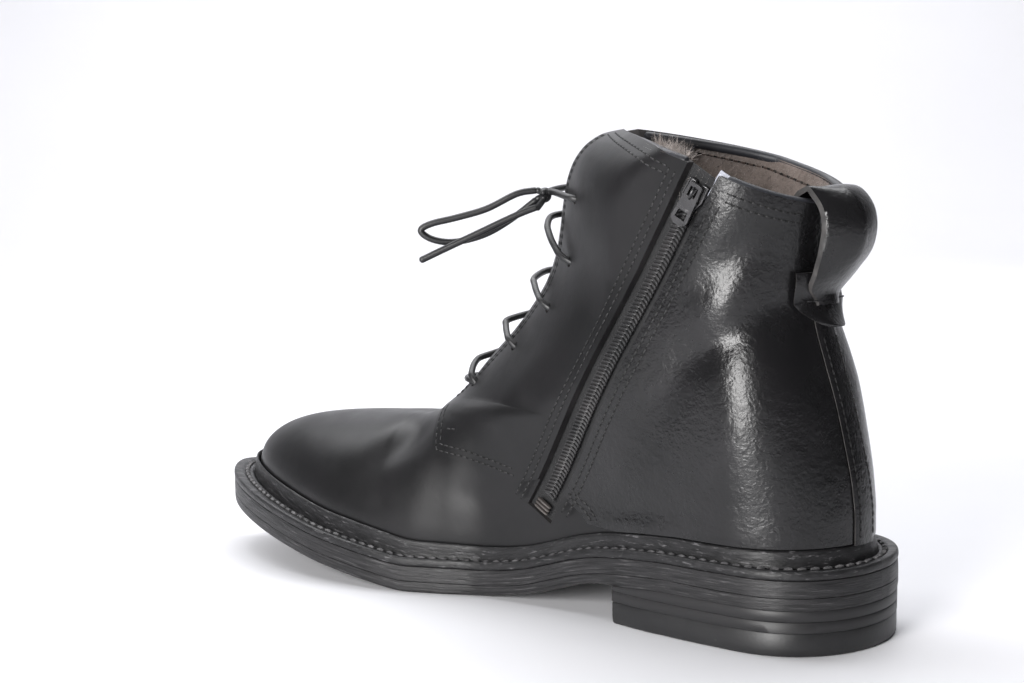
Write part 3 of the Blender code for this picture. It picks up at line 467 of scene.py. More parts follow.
def bevel_at(x):
    """The waist is cut back under the arch."""
    return WAIST_BEVEL * smooth((x - 82.0) / 22.0) * smooth((168.0 - x) / 40.0)


def ridge_height(x):
    """Height of the front ridge at a place along it, for the part ahead of the crook."""
    share = x / LENGTH
    low = curve(RIDGE, 1, share)
    high = curve(RIDGE, 2, share)
    return INSTEP_HEIGHT * low + (FRONT_HEIGHT - INSTEP_HEIGHT) * high


def back_line(z):
    return LENGTH * curve(BACK, 1, z / BACK_HEIGHT)


def upper_foot(x):
    """Height of the upper's lower edge, on the midsole."""
    return welt_under(x) + FOOT_LIFT


def fan_feet():
    """Where the sections that turn about the instep crook stand on the sole, going back to the heel."""
    heel_x = float(back_line(BACK_HEIGHT * BACK[0][0]))
    between = [x for x in stations() * LENGTH if heel_x + 2.0 < x < FAN_START - 5.0]
    return [FAN_START] + between[::-1] + [heel_x]


def half_width(x, z, from_ridge, round_off):
    """Half the width of the upper, and how much of it is left near the ridge."""
    tip = LENGTH * (1.0 - RIDGE[0][0])
    foot = (curve(SOLE_PLAN, 2, x / LENGTH) - upper_inset(x, z - upper_foot(x))) * toe_round(x, LENGTH - tip)
    shaft = SHAFT_WIDTH * curve(SHAFT, 1, z / FRONT_HEIGHT)
    leg = smooth((z - 40.0) / 60.0) * smooth((215.0 - x) / 40.0)
    width = foot * (1.0 - leg) + shaft * leg
    front = np.clip(1.0 - from_ridge / round_off, 0.0, 1.0)
    power = 2.2 - 0.95 * leg
    top = (1.0 - front**power) ** (1.0 / power)
    depth = HEEL_CURVE - 6.0 * smooth((z - 40.0) / 60.0)
    behind = np.clip(1.0 - (x - back_line(np.minimum(z, BACK_HEIGHT))) / depth, 0.0, 1.0)
    heel = np.sqrt(np.clip(1.0 - behind**2.3, 0.0, 1.0))
    return width * top * heel, top, leg


def unit(vectors):
    size = np.linalg.norm(vectors, axis=-1, keepdims=True)
    return vectors / np.where(size == 0, 1, size)


def zip_point(share):
    """A place on the zip's line in side view, from its foot to the collar."""
    return (
        ZIP_FOOT[0] + share * (ZIP_TOP[0] - ZIP_FOOT[0]),
        ZIP_FOOT[1] + share * (ZIP_TOP[1] - ZIP_FOOT[1]),
    )


def zip_band(low, high, half):
    """A strip along the zip's line in side view."""
    run = math.hypot(ZIP_TOP[0] - ZIP_FOOT[0], ZIP_TOP[1] - ZIP_FOOT[1])
    side = ((ZIP_TOP[1] - ZIP_FOOT[1]) / run * half, (ZIP_FOOT[0] - ZIP_TOP[0]) / run * half)
    (x0, z0), (x1, z1) = zip_point(low), zip_point(high)
    return [
        (x0 + side[0], z0 + side[1]),
        (x1 + side[0], z1 + side[1]),
        (x1 - side[0], z1 - side[1]),
        (x0 - side[0], z0 - side[1]),
    ]


def lip_line(xs):
    """The welt lip's top, with a clearance, in side view."""
    return [(x, float(welt_under(x) + WELT + lip_height(x)) + LIP_PLAY) for x in xs]


def quarter_front_outline():
    front, back = zip_band(0.0, 1.3, 0.5 * ZIP_SLOT)[:2]
    foot = zip_point(0.075)
    edge_foot = (foot[0] + front[0] - ZIP_FOOT[0], foot[1] + front[1] - ZIP_FOOT[1])
    return [*DERBY_EDGE, edge_foot, back, (back[0] + 160.0, back[1])]


def quarter_rear_outline():
    rear = zip_band(0.115, 1.3, 0.5 * ZIP_SLOT)
    low = lip_line([14.0, 30.0, 45.0, 60.0, 75.0, 88.0])
    return [(-20.0, low[0][1]), *low, *REAR_EDGE, rear[3], rear[2], (-20.0, rear[2][1])]


def quarter_outer_outline():
    low = lip_line([14.0, 30.0, 45.0, 60.0, 75.0, 88.0, 100.0])
    return [(-20.0, low[0][1]), *low, *OUTER_EDGE, *DERBY_EDGE[::-1], (300.0, 90.0), (300.0, 230.0), (-20.0, 230.0)]


def throat_outline():
    return [
        (THROAT_X, INSTEP_HEIGHT - 8.0),
        (THROAT_X, 230.0),
        (60.0, 230.0),
        (78.0, 165.0),
        (102.0, 120.0),
        (138.0, 76.0),
        (158.0, INSTEP_HEIGHT - 8.0),
    ]


def shaft_ridge(shares):
    """Even steps along the front ridge from the crook to the top of the collar."""
    x = np.linspace(FAN_END, LENGTH * RIDGE[-1][0], 200)
    z = ridge_height(x)
    walked = np.concatenate([[0.0], np.cumsum(np.hypot(np.diff(x), np.diff(z)))])
    at = shares * walked[-1]
    return np.interp(at, walked, x), np.interp(at, walked, z)


def back_point(y, z, lift):
    """A point over the back of the shaft or heel at a height and a distance to the side."""
    def surface_x(side, height):
        depth = HEEL_CURVE - 6.0 * smooth((height - 40.0) / 60.0)
        x = back_line(min(height, BACK_HEIGHT)) + 3.0
        width = shaft_or_foot(x + 20.0, height)
        share = min(abs(side) / width, 0.95)
        return float(back_line(min(height, BACK_HEIGHT)) + depth * (1.0 - (1.0 - share**2) ** (1 / 2.3)))

    here = surface_x(y, z)
    slope_y = (surface_x(y + 0.5, z) - surface_x(y - 0.5, z))
    slope_z = (surface_x(y, min(z + 0.5, BACK_HEIGHT)) - surface_x(y, z - 0.5))
    normal = np.array([-1.0, slope_y, slope_z])
    normal = normal / np.linalg.norm(normal)
    return np.array([here, y, z]) + lift * normal


def shaft_or_foot(x, z):
    """Half the width of the upper behind the ankle."""
    foot = curve(SOLE_PLAN, 2, x / LENGTH) - upper_inset(x, z - upper_foot(x))
    shaft = SHAFT_WIDTH * curve(SHAFT, 1, z / FRONT_HEIGHT)
    leg = smooth((z - 40.0) / 60.0)
    return float(foot * (1.0 - leg) + shaft * leg)


def through(points, steps):
    """A smooth curve read off at even steps between route points."""
    points = np.array(points, float)
    padded = np.vstack([2 * points[0] - points[1], points, 2 * points[-1] - points[-2]])
    found = []
    for k in range(1, len(padded) - 2):
        a, b, c, d = padded[k - 1 : k + 3]
        for t in np.arange(steps) / steps:
            found.append(
                0.5 * (2 * b + (c - a) * t + (2 * a - 5 * b + 4 * c - d) * t**2 + (3 * b - a - 3 * c + d) * t**3)
            )
    found.append(points[-1])
    return np.array(found)


SOLE_SHARES = sole_shares()


class Skin:
    """The upper's face, fine, by section number and by distance from the front ridge."""

    def __init__(self):
        self.feet = fan_feet()
        fan = len(self.feet) - 1
        self.joined = TOE_SECTIONS + fan
        self.last = self.joined + SHAFT_SECTIONS
        toe = TOE_SECTIONS * (np.arange(TOE_ROWS) / TOE_ROWS)
        middle = TOE_SECTIONS + fan * np.arange(FAN_ROWS) / FAN_ROWS
        shaft = self.joined + SHAFT_SECTIONS * np.arange(SHAFT_ROWS + 1) / SHAFT_ROWS
        self.numbers = np.concatenate([toe, middle, shaft])
        rows = [self.section(n) for n in self.numbers]
        rows[0][:] = rows[0][HALF]
        self.plain = np.array(rows)
        self.normals = self.directions(self.plain)
        self.grid = self.plain + (creases(self.plain) + waves(self.plain))[..., None] * self.normals
        self.normals = self.directions(self.grid)

    def section(self, n):
        fan = self.joined - TOE_SECTIONS
        if n < TOE_SECTIONS:
            turn = 0.5 * math.pi * (n / TOE_SECTIONS) ** 0.8
            tip = LENGTH * RIDGE[0][0]
            bx = rx = FAN_START + (tip - FAN_START) * math.cos(turn)
            bz = float(upper_foot(bx))
            rz = max(float(ridge_height(rx)), bz + 0.01)
            arch = 0.0
        elif n <= self.joined:
            share = (n - TOE_SECTIONS) / fan
            bx = float(curve([(k / fan, x) for k, x in enumerate(self.feet)], 1, share))
            bz = float(upper_foot(bx))
            rx = FAN_START + (FAN_END - FAN_START) * share
            rz = float(ridge_height(rx))
            arch = SECTION_ARCH * float(smooth((FAN_START - bx) / (FAN_START - self.feet[-1])))
        else:
            step = (n - self.joined) / SHAFT_SECTIONS
            low = float(upper_foot(self.feet[-1]))
            bz = low + step * (BACK_HEIGHT - low)
            bx = float(back_line(bz))
            rx, rz = (float(v) for v in shaft_ridge(step))
            arch = SECTION_ARCH * (1.0 - float(smooth(step / 0.75)))
        level = smooth((n - TOE_SECTIONS - 0.4 * fan) / fan)
        t = np.arange(HALF + 1) / HALF
        v = (1 - level) * np.sin(0.5 * math.pi * t) + level * 0.5 * (1 - np.cos(math.pi * t))
        run = max(math.hypot(rx - bx, rz - bz), 0.001)
        hump = 4.0 * v**0.75 * (1.0 - v**0.75) * arch / run
        x = bx + (rx - bx) * v - (rz - bz) * hump
        z = bz + (rz - bz) * v + (rx - bx) * hump
        bow = smooth((n - self.joined) / SHAFT_SECTIONS) * np.sin(math.pi * v)
        limit = min(float(curve(ROUND_OFF, 1, rx / LENGTH)), 0.95 * run)
        width, top, leg = half_width(x, z, (1 - v) * run, limit)
        ridge = 0.016 * LENGTH * smooth((x / LENGTH - 0.35) / 0.6)
        centre = plan_centre(x) * (1 - leg) * top + ridge * (1 - top)
        inner = np.stack([x, centre + width, z + COLLAR_BOW_INNER * bow], axis=1)
        outer = np.stack([x, centre - width, z + COLLAR_BOW_OUTER * bow], axis=1)
        return np.concatenate([inner, outer[-2::-1]])

    def directions(self, grid):
        along = np.gradient(grid, axis=0)
        across = np.zeros_like(grid)
        across[:, 1:-1] = grid[:, 2:] - grid[:, :-2]
        across[:, 0] = grid[:, 1] - grid[:, 0]
        across[:, -1] = grid[:, -1] - grid[:, -2]
        closed = TOE_ROWS + FAN_ROWS
        across[closed:, 0] = grid[closed:, 1] - grid[closed:, -2]
        across[closed:, -1] = across[closed:, 0]
        normal = unit(np.cross(across, along))
        if normal[len(grid) // 2, HALF // 2, 1] < 0:
            normal = -normal
        normal[0] = (1.0, 0.0, 0.0)
        for _ in range(3):
            evened = normal.copy()
            evened[1:-1] += 0.5 * (normal[:-2] + normal[2:])
            evened[1:-1, 1:-1] += 0.5 * (normal[1:-1, :-2] + normal[1:-1, 2:])
            evened[closed:-1, 0] += 0.5 * (normal[closed:-1, 1] + normal[closed:-1, -2])
            evened[closed:-1, -1] = evened[closed:-1, 0]
            normal = unit(evened)
        return normal

    def row(self, number):
        return float(np.interp(number, self.numbers, np.arange(len(self.numbers))))

    def at(self, number, distance, lift=0.0):
        """A point and its outward direction: section number, distance from the ridge, inner side positive."""
        row = self.row(number)
        low = int(row)
        part = row - low
        pair = [self.along(n, distance) for n in (low, min(low + 1, len(self.grid) - 1))]
        point = pair[0][0] * (1 - part) + pair[1][0] * part
        normal = unit(pair[0][1] * (1 - part) + pair[1][1] * part)
        return point + lift * normal, normal

    def along(self, n, distance):
        columns = list(range(HALF, -1, -1)) if distance >= 0 else list(range(HALF, 2 * HALF + 1))
        points, normals = self.grid[n, columns], self.normals[n, columns]
        walked = np.concatenate([[0.0], np.cumsum(np.linalg.norm(np.diff(points, axis=0), axis=1))])
        found = [np.array([np.interp(abs(distance), walked, side[:, c]) for c in range(3)]) for side in (points, normals)]
        return found[0], unit(found[1])

    def below_collar(self, column, distance, lift):
        """A point on a column, that far down from the collar's edge."""
        points, normals = self.grid[::-1, column], self.normals[::-1, column]
        walked = np.concatenate([[0.0], np.cumsum(np.linalg.norm(np.diff(points, axis=0), axis=1))])
        point = np.array([np.interp(distance, walked, points[:, c]) for c in range(3)])
        normal = unit(np.array([np.interp(distance, walked, normals[:, c]) for c in range(3)]))
        return point + lift * normal, normal


def creases(points):
    """Listed bends and dents of the leather, as a height at each point."""
    found = np.zeros(points.shape[:-1])
    x, z, side = points[..., 0], points[..., 2], np.sign(points[..., 1])
    for x0, z0, x1, z1, width, height, where in FOLDS:
        run = np.hypot(x1 - x0, z1 - z0)
        t = ((x - x0) * (x1 - x0) + (z - z0) * (z1 - z0)) / run**2
        near = np.clip(t, 0.0, 1.0)
        away = np.hypot(x - x0 - near * (x1 - x0), z - z0 - near * (z1 - z0))
        fade = 0.35 + 0.65 * np.sin(math.pi * np.clip(0.1 + 0.8 * near, 0, 1))
        found += height * fade * np.exp(-((away / width) ** 2)) * np.where(side * where > 0, 1.0, 0.0) * calm(points)
    return found


def calm(points):
    """No bend at the ridge, the back seam, the collar or the sole."""
    z, y = points[..., 2], np.abs(points[..., 1])
    return smooth((y - 3.0) / 9.0) * smooth((z - 24.0) / 14.0)


def waves(points):
    """Slight unevenness of worn leather."""
    x, y, z = points[..., 0], points[..., 1], points[..., 2]
    ripple = np.sin(x / 7.3 + 1.3 * np.sin(z / 9.1)) * np.sin(z / 8.3 + 1.1 * np.sin(y / 7.7 + x / 15.0))
    return WAVE * ripple * calm(points)


def make(name, points, faces, materials, indices=None, sharp=40.0, body="boot"):
    """A piece from points in millimetres and faces."""
    mesh = bpy.data.meshes.new(name)
    shifted = (np.asarray(points, float) - (ORIGIN_X, 0.0, 0.0)) * MM
    mesh.from_pydata(shifted.tolist(), [], [list(map(int, face)) for face in faces])
    if indices is not None:
        mesh.polygons.foreach_set("material_index", np.asarray(indices, np.int32))
    mesh.update()
    mesh.validate()
    mesh.shade_smooth()
    mesh.set_sharp_from_angle(angle=math.radians(sharp))
    obj = bpy.data.objects.new(name, mesh)
    bpy.context.scene.collection.objects.link(obj)
    for made in materials:
        mesh.materials.append(made)
    if body:
        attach(obj, body)
    return obj


def shell(name, outer, inner, materials, **more):
    """A sheet with a thickness. Its materials are for the outer face, the inner face and the rim."""
    rows, columns = outer.shape[:2]
    points = np.concatenate([outer.reshape(-1, 3), inner.reshape(-1, 3)])
    first = {}
    index = [first.setdefault(tuple(np.round(point, 3)), k) for k, point in enumerate(outer.reshape(-1, 3))]
    count = rows * columns
    sheet = []
    for i in range(rows - 1):
        for k in range(columns - 1):
            a = i * columns + k
            for triangle in ((a, a + columns, a + columns + 1), (a, a + columns + 1, a + 1)):
                corners = list(dict.fromkeys(index[c] for c in triangle))
                if len(corners) > 2:
                    sheet.append(corners)
    edges = {(a, b) for c in sheet for a, b in zip(c, c[1:] + c[:1])}
    rim = [[b, a, a + count, b + count] for a, b in sorted(edges) if (b, a) not in edges]
    faces = sheet + [[k + count for k in reversed(c)] for c in sheet] + rim
    kinds = [0] * len(sheet) + [1] * len(sheet) + [2] * len(rim)
    used = sorted({k for face in faces for k in face})
    place = {k: n for n, k in enumerate(used)}
    faces = [[place[k] for k in face] for face in faces]
    return make(name, points[used], faces, materials, kinds, **more)


def outward(obj):
    """Turns a closed piece's faces outward."""
    bm = bmesh.new()
    bm.from_mesh(obj.data)
    bmesh.ops.recalc_face_normals(bm, faces=bm.faces)
    bm.to_mesh(obj.data)
    bm.free()
    return obj


def prism(name, outline, low, high, kind=2):
    count = len(outline)
    points = [(x, low, z) for x, z in outline] + [(x, high, z) for x, z in outline]
    faces = [list(range(count)), list(range(2 * count - 1, count - 1, -1))]
    faces += [[k, (k + 1) % count, (k + 1) % count + count, k + count] for k in range(count)]
    obj = make(name, points, faces, [leather_edge] * 3, [kind] * len(faces), body=None)
    return outward(obj)


def cut(obj, others, operation="DIFFERENCE"):
    """Applies cuts to a piece."""
    for other in others:
        modifier = obj.modifiers.new(other.name, "BOOLEAN")
        modifier.object = other
        modifier.operation = operation
        modifier.solver = "EXACT"
    bpy.context.view_layer.update()
    done = bpy.data.meshes.new_from_object(obj.evaluated_get(bpy.context.evaluated_depsgraph_get()))
    obj.modifiers.clear()
    obj.data = done
    done.shade_smooth()
    done.set_sharp_from_angle(angle=math.radians(40))
    return obj


def loop_fine(inset, height):
    inner, outer = side_points(inset, height, SOLE_SHARES)
    return np.concatenate([inner, outer[-2:0:-1]])


def band(name, loops, materials, caps, **more):
    """A closed band through the loops, with top and bottom faces or joined back to its start."""
    count = len(loops[0])
    points = np.concatenate(loops)
    faces = []
    turns = len(loops) - 1 if caps else len(loops)
    for k in range(turns):
        after = (k + 1) % len(loops)
        for i in range(count):
            j = (i + 1) % count
            faces.append([k * count + i, k * count + j, after * count + j, after * count + i])
    kinds = [0] * len(faces)
    if caps:
        half = count // 2
        for base in (0, (len(loops) - 1) * count):
            for i in range(half):
                a, b = base + i, base + i + 1
                c, d = base + (count - i - 1) % count, base + (count - i) % count
                corners = list(dict.fromkeys([a, b, c, d]))
                faces.append(corners)
        kinds += [1] * (len(faces) - len(kinds))
    obj = make(name, points, faces, materials, kinds, **more)
    uv = obj.data.uv_layers.new(name="UVMap")
    walked = np.concatenate([[0.0], np.cumsum(np.linalg.norm(np.diff(loops[0], axis=0), axis=1))])
    level = np.zeros(len(points))
    u = np.tile(walked, len(loops))
    for k in range(len(loops)):
        level[k * count : (k + 1) * count] = loops[k][:, 2] - loops[0][:, 2]
    for loop in obj.data.loops:
        uv.data[loop.index].uv = (u[loop.vertex_index] * MM, level[loop.vertex_index] * MM)
    return outward(obj)


def build_sole():
    out = lambda inset, share: (lambda x: inset(x), lambda x: outsole_under(x) + share * OUTSOLE)
    ahead = lambda x: smooth((x - HEEL_LENGTH) / 20.0)
    profile = (
        out(lambda x: 0.35 + 1.05 * ahead(x) + bevel_at(x), 0.0),
        out(lambda x: 0.25 + 0.45 * ahead(x) + 0.85 * bevel_at(x), 0.04),
        out(lambda x: 0.2 + 0.1 * ahead(x) + 0.6 * bevel_at(x), 0.14),
        out(lambda x: 0.1 + 0.3 * bevel_at(x), 0.3),
        out(lambda x: 0.1 * bevel_at(x), 0.55),
        out(lambda x: 0.0 * x, 0.9),
        out(lambda x: 0.06 + 0.0 * x, 1.03),
        out(lambda x: 0.3 + 0.0 * x, 1.06),
    )
    piece = band("outsole_edge", [loop_fine(i, h) for i, h in profile], [sole_edge, tread], True)
    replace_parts(piece, "outsole")
    mid = lambda inset, share: (lambda x: inset + 0.0 * x, lambda x: midsole_under(x) + share * MIDSOLE)
    profile = (mid(0.3, 0.0), mid(0.05, 0.02), mid(0.0, 0.08), mid(0.02, 0.5), mid(0.1, 0.9), mid(0.25, 1.02), mid(0.5, 1.045))
    piece = band("midsole_edge", [loop_fine(i, h) for i, h in profile], [sole_edge, tread], True)
    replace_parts(piece, "midsole")
    build_welt()
    build_heel()
    inside = lambda x: edge_width(x) + WALL + 0.6
    levels = [loop_fine(inside, welt_under), loop_fine(inside, lambda x: welt_under(x) + INSOLE - 0.4)]
    levels.append(loop_fine(lambda x: inside(x) + 0.5, lambda x: welt_under(x) + INSOLE))
    piece = band("insole_board", levels, [fleece, fleece], True)
    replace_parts(piece, "insole")


def welt_room(x):
    return CLEAR * (2.0 - 0.6 * smooth(x / HEEL_CURVE) * smooth((LENGTH - x) / TOE_TUCK))


def lip_inset(x, share):
    return upper_inset(x, WELT + share * lip_height(x) - FOOT_LIFT) - welt_room(x)


def ledge(x):
    return lip_inset(x, 0.35) - LIP_THICKNESS


def build_welt():
    over = lambda share, lower=0.0: (lambda x: welt_under(x) + share * WELT - lower)
    top = lambda share, raise_=0.0: (lambda x: welt_under(x) + WELT + share * lip_height(x) + raise_)
    profile = (
        (lambda x: 0.7 + 0.0 * x, over(0.0)),
        (lambda x: 0.2 + 0.0 * x, over(0.06)),
        (lambda x: 0.0 * x, over(0.25)),
        (lambda x: -0.05 + 0.0 * x, over(0.5)),
        (lambda x: 0.05 + 0.0 * x, over(0.78)),
        (lambda x: 0.35 + 0.0 * x, over(0.95)),
        (lambda x: 0.9 + 0.0 * x, over(1.0, 0.02)),
        (lambda x: 0.36 * ledge(x), over(1.0)),
        (lambda x: 0.44 * ledge(x), over(1.0, 0.15)),
        (lambda x: 0.52 * ledge(x), over(1.0, 0.55)),
        (lambda x: 0.62 * ledge(x), over(1.0, 0.75)),
        (lambda x: 0.72 * ledge(x), over(1.0, 0.5)),
        (lambda x: 0.80 * ledge(x), over(1.0, 0.2)),
        (lambda x: 0.88 * ledge(x), over(1.0, 0.3)),
        (lambda x: ledge(x) - 0.3, over(1.0, STITCH_LEDGE + 0.3)),
        (lambda x: ledge(x) - 0.05, over(1.0, 0.2)),
        (lambda x: ledge(x) + 0.0, top(0.12)),
        (lambda x: ledge(x) - 0.05, top(0.35)),
        (lambda x: 0.5 * ledge(x) + 0.5 * (lip_inset(x, 1.0) - 0.8 * LIP_THICKNESS), top(0.65)),
        (lambda x: lip_inset(x, 1.0) - 0.72 * LIP_THICKNESS, top(0.85)),
        (lambda x: lip_inset(x, 1.0) - 0.55 * LIP_THICKNESS, top(0.97)),
        (lambda x: lip_inset(x, 1.0) - 0.30 * LIP_THICKNESS, top(1.0, 0.1)),
        (lambda x: lip_inset(x, 0.95) - 0.10 * LIP_THICKNESS, top(0.97)),
        (lambda x: lip_inset(x, 0.85), top(0.85)),
        (lambda x: lip_inset(x, 0.35), top(0.35)),
        (lambda x: edge_width(x) - welt_room(x), over(0.0)),
    )
    piece = band("welt_strip", [loop_fine(i, h) for i, h in profile], [welt_leather], False, sharp=70.0)
    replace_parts(piece, "welt")
    line = loop_fine(lambda x: 0.62 * ledge(x), over(1.0, 0.45))
    line = np.vstack([line, line[:1]])
    up = np.tile([0.0, 0.0, 1.0], (len(line), 1))
    stitches("welt_stitches", [(line, up)], WELT_PITCH, 3.6, 1.9, [worn_thread, hole_dark])


def heel_rows(inset, height, columns=25, count=40):
    across = np.linspace(-1.0, 1.0, columns)
    shares = np.linspace(0.0, 1.0, count)
    reach = HEEL_LENGTH - inset
    rows = []
    for share in shares:
        x = inset + share * share * (3 - share) / 2 * (reach - inset) if share < 1 else reach
        half = plan_half(np.array([x]), inset, inset, 0.0)[0]
        centre = plan_centre(np.array([x]))[0]
        hollow = BREAST_DEPTH * (1 - across**2) * smooth((share - 0.3) / 0.7)
        xs = x - hollow
        rows.append(np.stack([xs, centre - half * across, height(xs) + np.zeros(columns)], axis=1))
    return np.array(rows)


def heel_loop(inset, height):
    grid = heel_rows(inset, height)
    return np.concatenate([grid[:, 0], grid[-1, 1:], grid[-2::-1, -1], grid[0, -2:0:-1]])


def heel_block(name, levels, materials, node):
    """A block of the heel: loops for its sides, closed at the top and the bottom."""
    count = len(heel_loop(*levels[0]))
    points = [heel_loop(*level) for level in levels]
    faces = []
    for k in range(len(levels) - 1):
        for i in range(count):
            j = (i + 1) % count
            faces.append([k * count + i, k * count + j, (k + 1) * count + j, (k + 1) * count + i])
    kinds = [0] * len(faces)
    base = len(levels) * count
    for level in (levels[0], levels[-1]):
        grid = heel_rows(*level)
        rows, columns = grid.shape[:2]
        points.append(grid.reshape(-1, 3))
        for i in range(rows - 1):
            for k in range(columns - 1):
                a = base + i * columns + k
                faces.append([a, a + columns, a + columns + 1, a + 1])
                kinds.append(1)
        base += rows * columns
    obj = make(name, np.concatenate(points), faces, materials, kinds)
    bm = bmesh.new()
    bm.from_mesh(obj.data)
    bmesh.ops.remove_doubles(bm, verts=bm.verts, dist=1e-6)
    bmesh.ops.recalc_face_normals(bm, faces=bm.faces)
    bm.to_mesh(obj.data)
    bm.free()
    obj.data.set_sharp_from_angle(angle=math.radians(50))
    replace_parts(obj, node)
    return obj


def build_heel():
    level = lambda value: (lambda x: value + 0.0 * x)
    seat = lambda x: outsole_under(x) - 0.05
    top = [(1.6, level(0.0)), (0.9, level(0.25)), (0.55, level(0.8)), (0.45, level(3.0)), (0.45, level(TOP_PIECE - 0.5))]
    top.append((0.7, level(TOP_PIECE)))
    heel_block("top_piece_rubber", top, [rubber, tread], "top_piece")
    lower = [(0.5, level(TOP_PIECE + 0.02)), (0.32, level(TOP_PIECE + 0.2)), (0.3, level(LIFT_JOINT - 0.2))]
    lower.append((0.45, level(LIFT_JOINT - 0.03)))
    heel_block("heel_lift_low", lower, [sole_edge, tread], "heel_lift_lower")
    upper = [(0.42, level(LIFT_JOINT)), (0.28, level(LIFT_JOINT + 0.2)), (0.25, lambda x: outsole_under(x) - 0.3)]
    upper.append((0.4, seat))
    heel_block("heel_lift_high", upper, [sole_edge, tread], "heel_lift_upper")


def resample(line, normals, pitch, start=0.5):
    walked = np.concatenate([[0.0], np.cumsum(np.linalg.norm(np.diff(line, axis=0), axis=1))])
    at = np.arange(start * pitch, walked[-1] - 0.3 * pitch, pitch)
    point = np.stack([np.interp(at, walked, line[:, c]) for c in range(3)], axis=1)
    normal = unit(np.stack([np.interp(at, walked, normals[:, c]) for c in range(3)], axis=1))
    ahead = np.stack([np.interp(at + 0.4, walked, line[:, c]) for c in range(3)], axis=1)
    back = np.stack([np.interp(at - 0.4, walked, line[:, c]) for c in range(3)], axis=1)
    return point, normal, unit(ahead - back)


def stitches(name, lines, pitch, length, width, materials):
    """A row of stitches on each line: short rounded threads, with near-black discs at their ends as painted shade in
    the needle holes.
    """
    stations_ = ((-0.5, 0.35, -0.45), (-0.36, 0.85, 0.05), (0.0, 1.0, 0.22), (0.36, 0.85, 0.05), (0.5, 0.35, -0.45))
    points, faces, kinds = [], [], []
    for line, normals in lines:
        for place, out, along in zip(*resample(np.asarray(line), np.asarray(normals), pitch)):
            side = unit(np.cross(out, along))
            base = len(points)
            for u, wide, high in stations_:
                for k in range(6):
                    turn = math.pi * (k + 0.5) / 3
                    spoke = 0.5 * width * wide * (math.cos(turn) * side + 0.75 * math.sin(turn) * out)
                    points.append(place + u * length * along + high * width * out * 0.6 + spoke)
            for s in range(4):
                for k in range(6):
                    a, b = base + s * 6 + k, base + s * 6 + (k + 1) % 6
                    faces.append([a, b, b + 6, a + 6])
                    kinds.append(0)
            faces += [[base + k for k in range(5, -1, -1)], [base + 24 + k for k in range(6)]]
            kinds += [0, 0]
            # Discs at both ends of the thread, in the second material: painted shade of the needle holes.
            for end in (-0.5, 0.5):
                base = len(points)
                for k in range(6):
                    turn = math.pi * k / 3
                    spoke = 0.62 * width * (math.cos(turn) * side + math.sin(turn) * along)
                    points.append(place + end * length * along + 0.05 * out + spoke)
                faces.append([base + k for k in range(6)])
                kinds.append(1)
    piece = make(name, points, faces, materials, kinds)
    return piece


def cord_mesh(name, path, radius, materials, braid=0.05, sides=18, body="boot", step=0.3):
    """A round cord with a braided face along a path in millimetres."""
    path = np.asarray(path, float)
    walked = np.concatenate([[0.0], np.cumsum(np.linalg.norm(np.diff(path, axis=0), axis=1))])
    count = max(int(walked[-1] / step), 4)
    at = np.linspace(0.0, walked[-1], count + 1)
    line = np.stack([np.interp(at, walked, path[:, c]) for c in range(3)], axis=1)
    for _ in range(4):
        line[1:-1] = 0.5 * line[1:-1] + 0.25 * (line[:-2] + line[2:])
    tangent = unit(np.gradient(line, axis=0))
    side = unit(np.cross(tangent[0], (0.3, 0.5, 0.8)))
    points, faces = [], []
    for n in range(count + 1):
        side = unit(side - tangent[n] * (side @ tangent[n]))
        up = np.cross(tangent[n], side)
        close = min(n, count - n) * step
        taper = math.sqrt(max(1.0 - (1.0 - min(close / (0.8 * radius), 1.0)) ** 2, 0.04))
        for k in range(sides):
            turn = 2 * math.pi * k / sides
            wave = math.sin(at[n] / 0.42 + 4 * turn) * math.sin(at[n] / 0.42 - 4 * turn)
            reach = radius * taper * (1.0 - braid * 0.5 + braid * 0.5 * wave)
            points.append(line[n] + reach * (math.cos(turn) * side + math.sin(turn) * up))
    for n in range(count):
        for k in range(sides):
            a, b = n * sides + k, n * sides + (k + 1) % sides
            faces.append([a, b, b + sides, a + sides])
    faces.append(list(range(sides - 1, -1, -1)))
    faces.append([count * sides + k for k in range(sides)])
    return make(name, points, faces, materials, body=body), line


def join(name, objs):
    """One piece from several."""
    bm = bmesh.new()
    for obj in objs:
        start = len(bm.verts)
        bm.from_mesh(obj.data)
    mesh = bpy.data.meshes.new(name)
    bm.to_mesh(mesh)
    bm.free()
    for made in objs[0].data.materials:
        mesh.materials.append(made)
    made = bpy.data.objects.new(name, mesh)
    bpy.context.scene.collection.objects.link(made)
    mesh.shade_smooth()
    for obj in objs:
        bpy.data.objects.remove(obj)
    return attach(made, "boot")


def eyelets(skin):
    return [(skin.joined + share * SHAFT_SECTIONS, setback) for share, setback in EYELETS]


